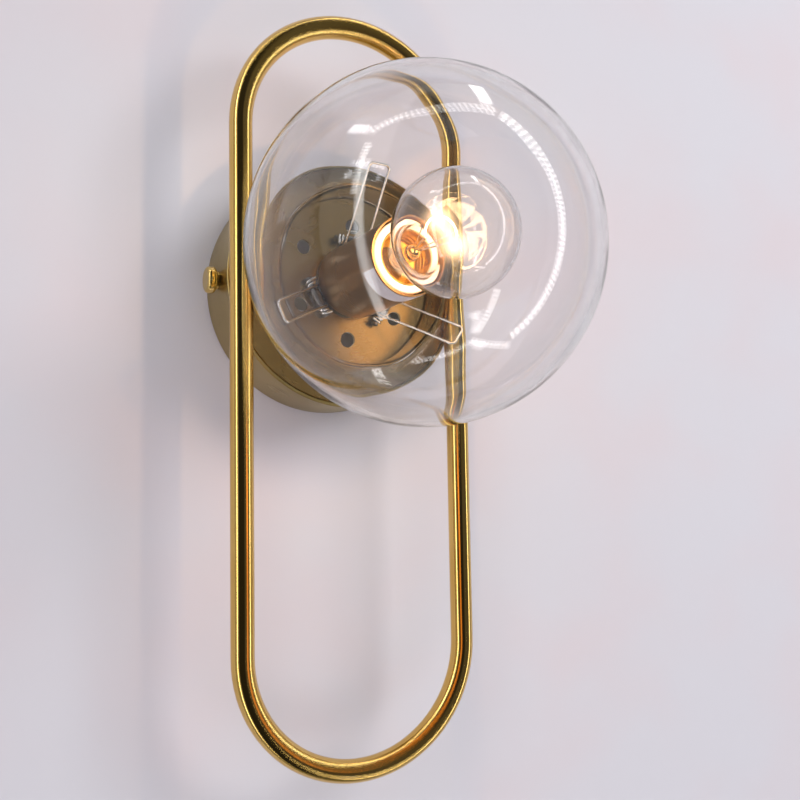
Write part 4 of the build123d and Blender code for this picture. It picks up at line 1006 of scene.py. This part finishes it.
@dataclass
class Studio:
    """The wall, the lamps, the room that metal and glass reflect, and the camera."""

    camera_at: Point = (-0.202642, -0.507197, -0.104021)
    forward: Point = (0.440649, 0.893816, 0.083191)
    up: Point = (-0.021508, -0.082135, 0.996389)
    lens: float = 44.614
    sensor: float = 36.0
    clip: Spot = (0.01, 20.0)
    wall_colour: Colour = (0.61, 0.60, 0.645)
    wall_blush: Colour = (0.63, 0.575, 0.61)
    wall_size: Spot = (6.0, 2.8)
    wall_middle: float = 0.4
    wall_gap: float = 0.6 * MM
    floor_reach: float = 3.0
    cove: float = 0.35
    cove_steps: int = 12
    low_floor: Spot = (-0.45, -0.6)
    drum_edge: Spot = (61.0 * MM, 60.0 * MM)
    aim: Point = (0.0, -0.06, -0.04)
    soft_lamps: tuple[SoftLamp, ...] = (
        SoftLamp("key", (1.1, -1.2, 0.7), (0.7, 0.9), 17.0, (1.0, 0.99, 0.98)),
        SoftLamp("fill", (-0.9, -1.2, 0.6), (0.8, 1.2), 7.0, (1.0, 0.98, 0.97)),
        SoftLamp("low", (0.2, -1.2, -0.7), (1.2, 0.6), 4.0, (1.0, 0.98, 0.97)),
        SoftLamp("behind", (0.3, 1.2, 0.6), (1.2, 1.2), 8.0, (1.0, 1.0, 1.0)),
    )
    seen_colour: Colour = (0.95, 0.95, 0.97)
    fill_colour: Colour = (0.93, 0.95, 1.0)
    fill_strength: float = 0.42
    room_colour: Colour = (1.0, 0.99, 0.97)
    room_level: float = 0.42
    room_rise: float = 0.12
    front_edges: tuple[Spot, Spot] = ((-0.95, -0.86), (0.95, 0.85))
    front_loss: float = 0.78
    dark_edges: tuple[Spot, Spot] = ((-0.93, -0.86), (0.16, 0.04))
    dark_loss: float = 0.75
    light_in_glass: float = 0.30
    strips: tuple[Strip, ...] = (
        Strip((-67, -52), (-67, 40), 3.6, 4.2),
        Strip((-71, 20), (-71, 50), 2.4, 6.0, 190.0),
        Strip((62, -48), (63, 60), 2.8, 6.5, 170.0),
        Strip((-76, 56), (-26, 73), 2.2, 5.0, 150.0),
        Strip((-26, 73), (62, 62), 2.2, 5.0, 150.0),
        Strip((-117, 51), (-79, 58), 3.0, 7.0, 190.0),
        Strip((127, 64), (68, 66), 3.0, 7.0, 190.0),
        Strip((-145, -64), (176, -54), 2.4, 6.0, 190.0),
        Strip((30, -59), (24, -32), 2.6, 5.0, 150.0),
        Strip((32, -64), (71, -50), 1.8, 6.0, 150.0),
    )

    def camera(self) -> None:
        """Makes the camera at the photograph's place and angle."""
        data = bpy.data.cameras.new("camera")
        data.sensor_width = self.sensor
        data.lens = self.lens
        data.clip_start, data.clip_end = self.clip
        made = bpy.data.objects.new("camera", data)
        forward = Vector(self.forward).normalized()
        right = forward.cross(Vector(self.up)).normalized()
        up = right.cross(forward)
        turn = Matrix((right, up, -forward)).transposed()
        made.matrix_world = Matrix.Translation(Vector(self.camera_at)) @ turn.to_4x4()
        bpy.context.scene.collection.objects.link(made)
        bpy.context.scene.camera = made

    def backdrop(self) -> None:
        """Makes the pale wall, which bends forward into a floor and is clear from behind."""
        Bench.clear()
        bpy.ops.mesh.primitive_plane_add(
            size=1.0, location=(0, self.wall_gap, self.wall_middle), rotation=(math.pi / 2, 0, 0),
            enter_editmode=False,
        )
        wall = bpy.context.object
        wall.name = "backdrop"
        wall.scale = (*self.wall_size, 1.0)
        bpy.ops.object.transform_apply(location=True, rotation=True, scale=True)
        bpy.ops.object.mode_set(mode="EDIT")
        Bench.pick(lambda vertex: vertex.co.z < 0)
        forward = (0, -self.floor_reach, 0)
        bpy.ops.mesh.extrude_region_move(TRANSFORM_OT_translate={"value": forward})
        Bench.pick(lambda vertex: vertex.co.z < 0 and vertex.co.y > -0.1)
        bpy.ops.mesh.bevel(offset=self.cove, segments=self.cove_steps, affect="EDGES")
        bpy.ops.mesh.select_all(action="SELECT")
        bpy.ops.mesh.normals_make_consistent(inside=False)
        bpy.ops.object.mode_set(mode="OBJECT")
        middle = min(wall.data.polygons, key=lambda f: abs(f.center.z - self.wall_middle))
        if middle.normal.y > 0:
            bpy.ops.object.mode_set(mode="EDIT")
            bpy.ops.mesh.select_all(action="SELECT")
            bpy.ops.mesh.flip_normals()
            bpy.ops.object.mode_set(mode="OBJECT")
        bpy.ops.object.shade_smooth()
        wall.data.materials.append(self._paint())

    def _paint(self) -> bpy.types.Material:
        """Matt wall paint, clear from behind.

        Mirrored rays see the room where the floor is, and both mirrored and scattered rays go
        out through the open back of the drum.
        """
        made, shading = new_shading("wall_paint")
        place = shading.place()
        x, _, z = shading.split(place)
        mottle = shading.noise(place, 9.0, 2.0).rise(0.35, 0.75)
        colour = shading.blend(mottle, self.wall_colour, self.wall_blush)
        paint = shading.node("ShaderNodeBsdfDiffuse", values={"Color": colour})
        clear = shading.node("ShaderNodeBsdfTransparent")
        behind = shading.node("ShaderNodeNewGeometry", out="Backfacing")
        mirrored, scattered = shading.mirrored(), shading.ray("Is Diffuse Ray")
        low_floor = z.rise(*self.low_floor) * mirrored
        in_the_drum = (x * x + z * z).root().rise(*self.drum_edge) * mirrored.most(scattered)
        open_to = behind.most(low_floor).most(in_the_drum)
        shading.show(shading.mix(open_to, paint, clear))
        return made

    def lamps(self) -> None:
        """Hangs the soft lamps, which point at the light: key, fill, a low one and one behind."""
        for lamp in self.soft_lamps:
            made = new_lamp(lamp.name, "AREA", lamp.at, lamp.power, lamp.colour)
            made.data.size, made.data.size_y = lamp.size
            aim = Vector(self.aim) - Vector(lamp.at)
            made.rotation_mode = "QUATERNION"
            made.rotation_quaternion = aim.to_track_quat("-Z", "Y")
            made.visible_glossy = False

    def room(self) -> None:
        """Paints the world: white for the eye, a pale fill for matt surfaces, a room for gloss."""
        world = bpy.data.worlds.new("room")
        bpy.context.scene.world = world
        shading = Shading(world)
        way = shading.node("ShaderNodeTexCoord", out="Generated")
        x, y, z = shading.split(way)
        bearing = x.bearing(y * -1.0)
        level = self.room_level + z * self.room_rise
        through = shading.ray("Is Transmission Ray")
        front = self._between(bearing, self.front_edges)
        dark = self._between(bearing, self.dark_edges)
        level = level * (1 - front * self.front_loss) * (1 - dark * self.dark_loss)
        for strip in self.strips:
            level = level + self._strip(shading, way, strip)
        level = level + through * self.light_in_glass
        gloss, eye = shading.mirrored(), shading.ray("Is Camera Ray")
        seen = shading.background(self.seen_colour, 1.0)
        fill = shading.background(self.fill_colour, self.fill_strength)
        mirrored = shading.background(self.room_colour, level)
        soft = shading.mix(gloss, fill, mirrored)
        shading.show(shading.mix(eye.most(through * (1 - gloss)), soft, seen))

    @staticmethod
    def _between(value: Field, edges: tuple[Spot, Spot]) -> Field:
        """1 between two soft edges and 0 beyond them."""
        low, high = edges
        return value.rise(*low) * value.rise(*high)

    @staticmethod
    def _strip(shading: Shading, way: Field, strip: Strip) -> Field:
        """One long lamp as a part of a great circle, with beads of light along it."""
        start, end = Strip.way(*strip.start), Strip.way(*strip.end)
        normal = start.cross(end).normalized()
        middle = (start + end).normalized()
        along = normal.cross(middle)
        width = math.radians(strip.width)
        near = shading.dot(way, tuple(normal)).size().rise(width, width * 0.6)
        reach = start.dot(middle)
        within = shading.dot(way, tuple(middle)).rise(reach - 0.004, reach + 0.004)
        light = near * within * strip.strength
        if strip.beads:
            light = light * ((shading.dot(way, tuple(along)) * strip.beads).wave() * 0.3 + 0.7)
        return light


# ---- making --------------------------------------------------------------------------------------
def main() -> None:
    """Builds and dresses the light, then the studio, in order."""
    logging.basicConfig(level=logging.INFO, format="%(message)s")
    scene = bpy.context.scene
    scene.view_settings.view_transform = "Standard"
    studio = Studio()
    studio.camera()
    bulb = Bulb()
    globe = Globe()
    loop = Loop()
    for part in (Canopy(), loop, globe, Lampholder(), bulb, Wiring()):
        part.dress()
    clear = [globe.build(), bulb.build(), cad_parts["bulb_stem"]]
    globe.light(clear)
    bulb.light(clear)
    loop.light(bulb.filament_depth)
    bulb.glow()
    studio.backdrop()
    studio.lamps()
    studio.room()


if __name__ == "__main__":
    main()
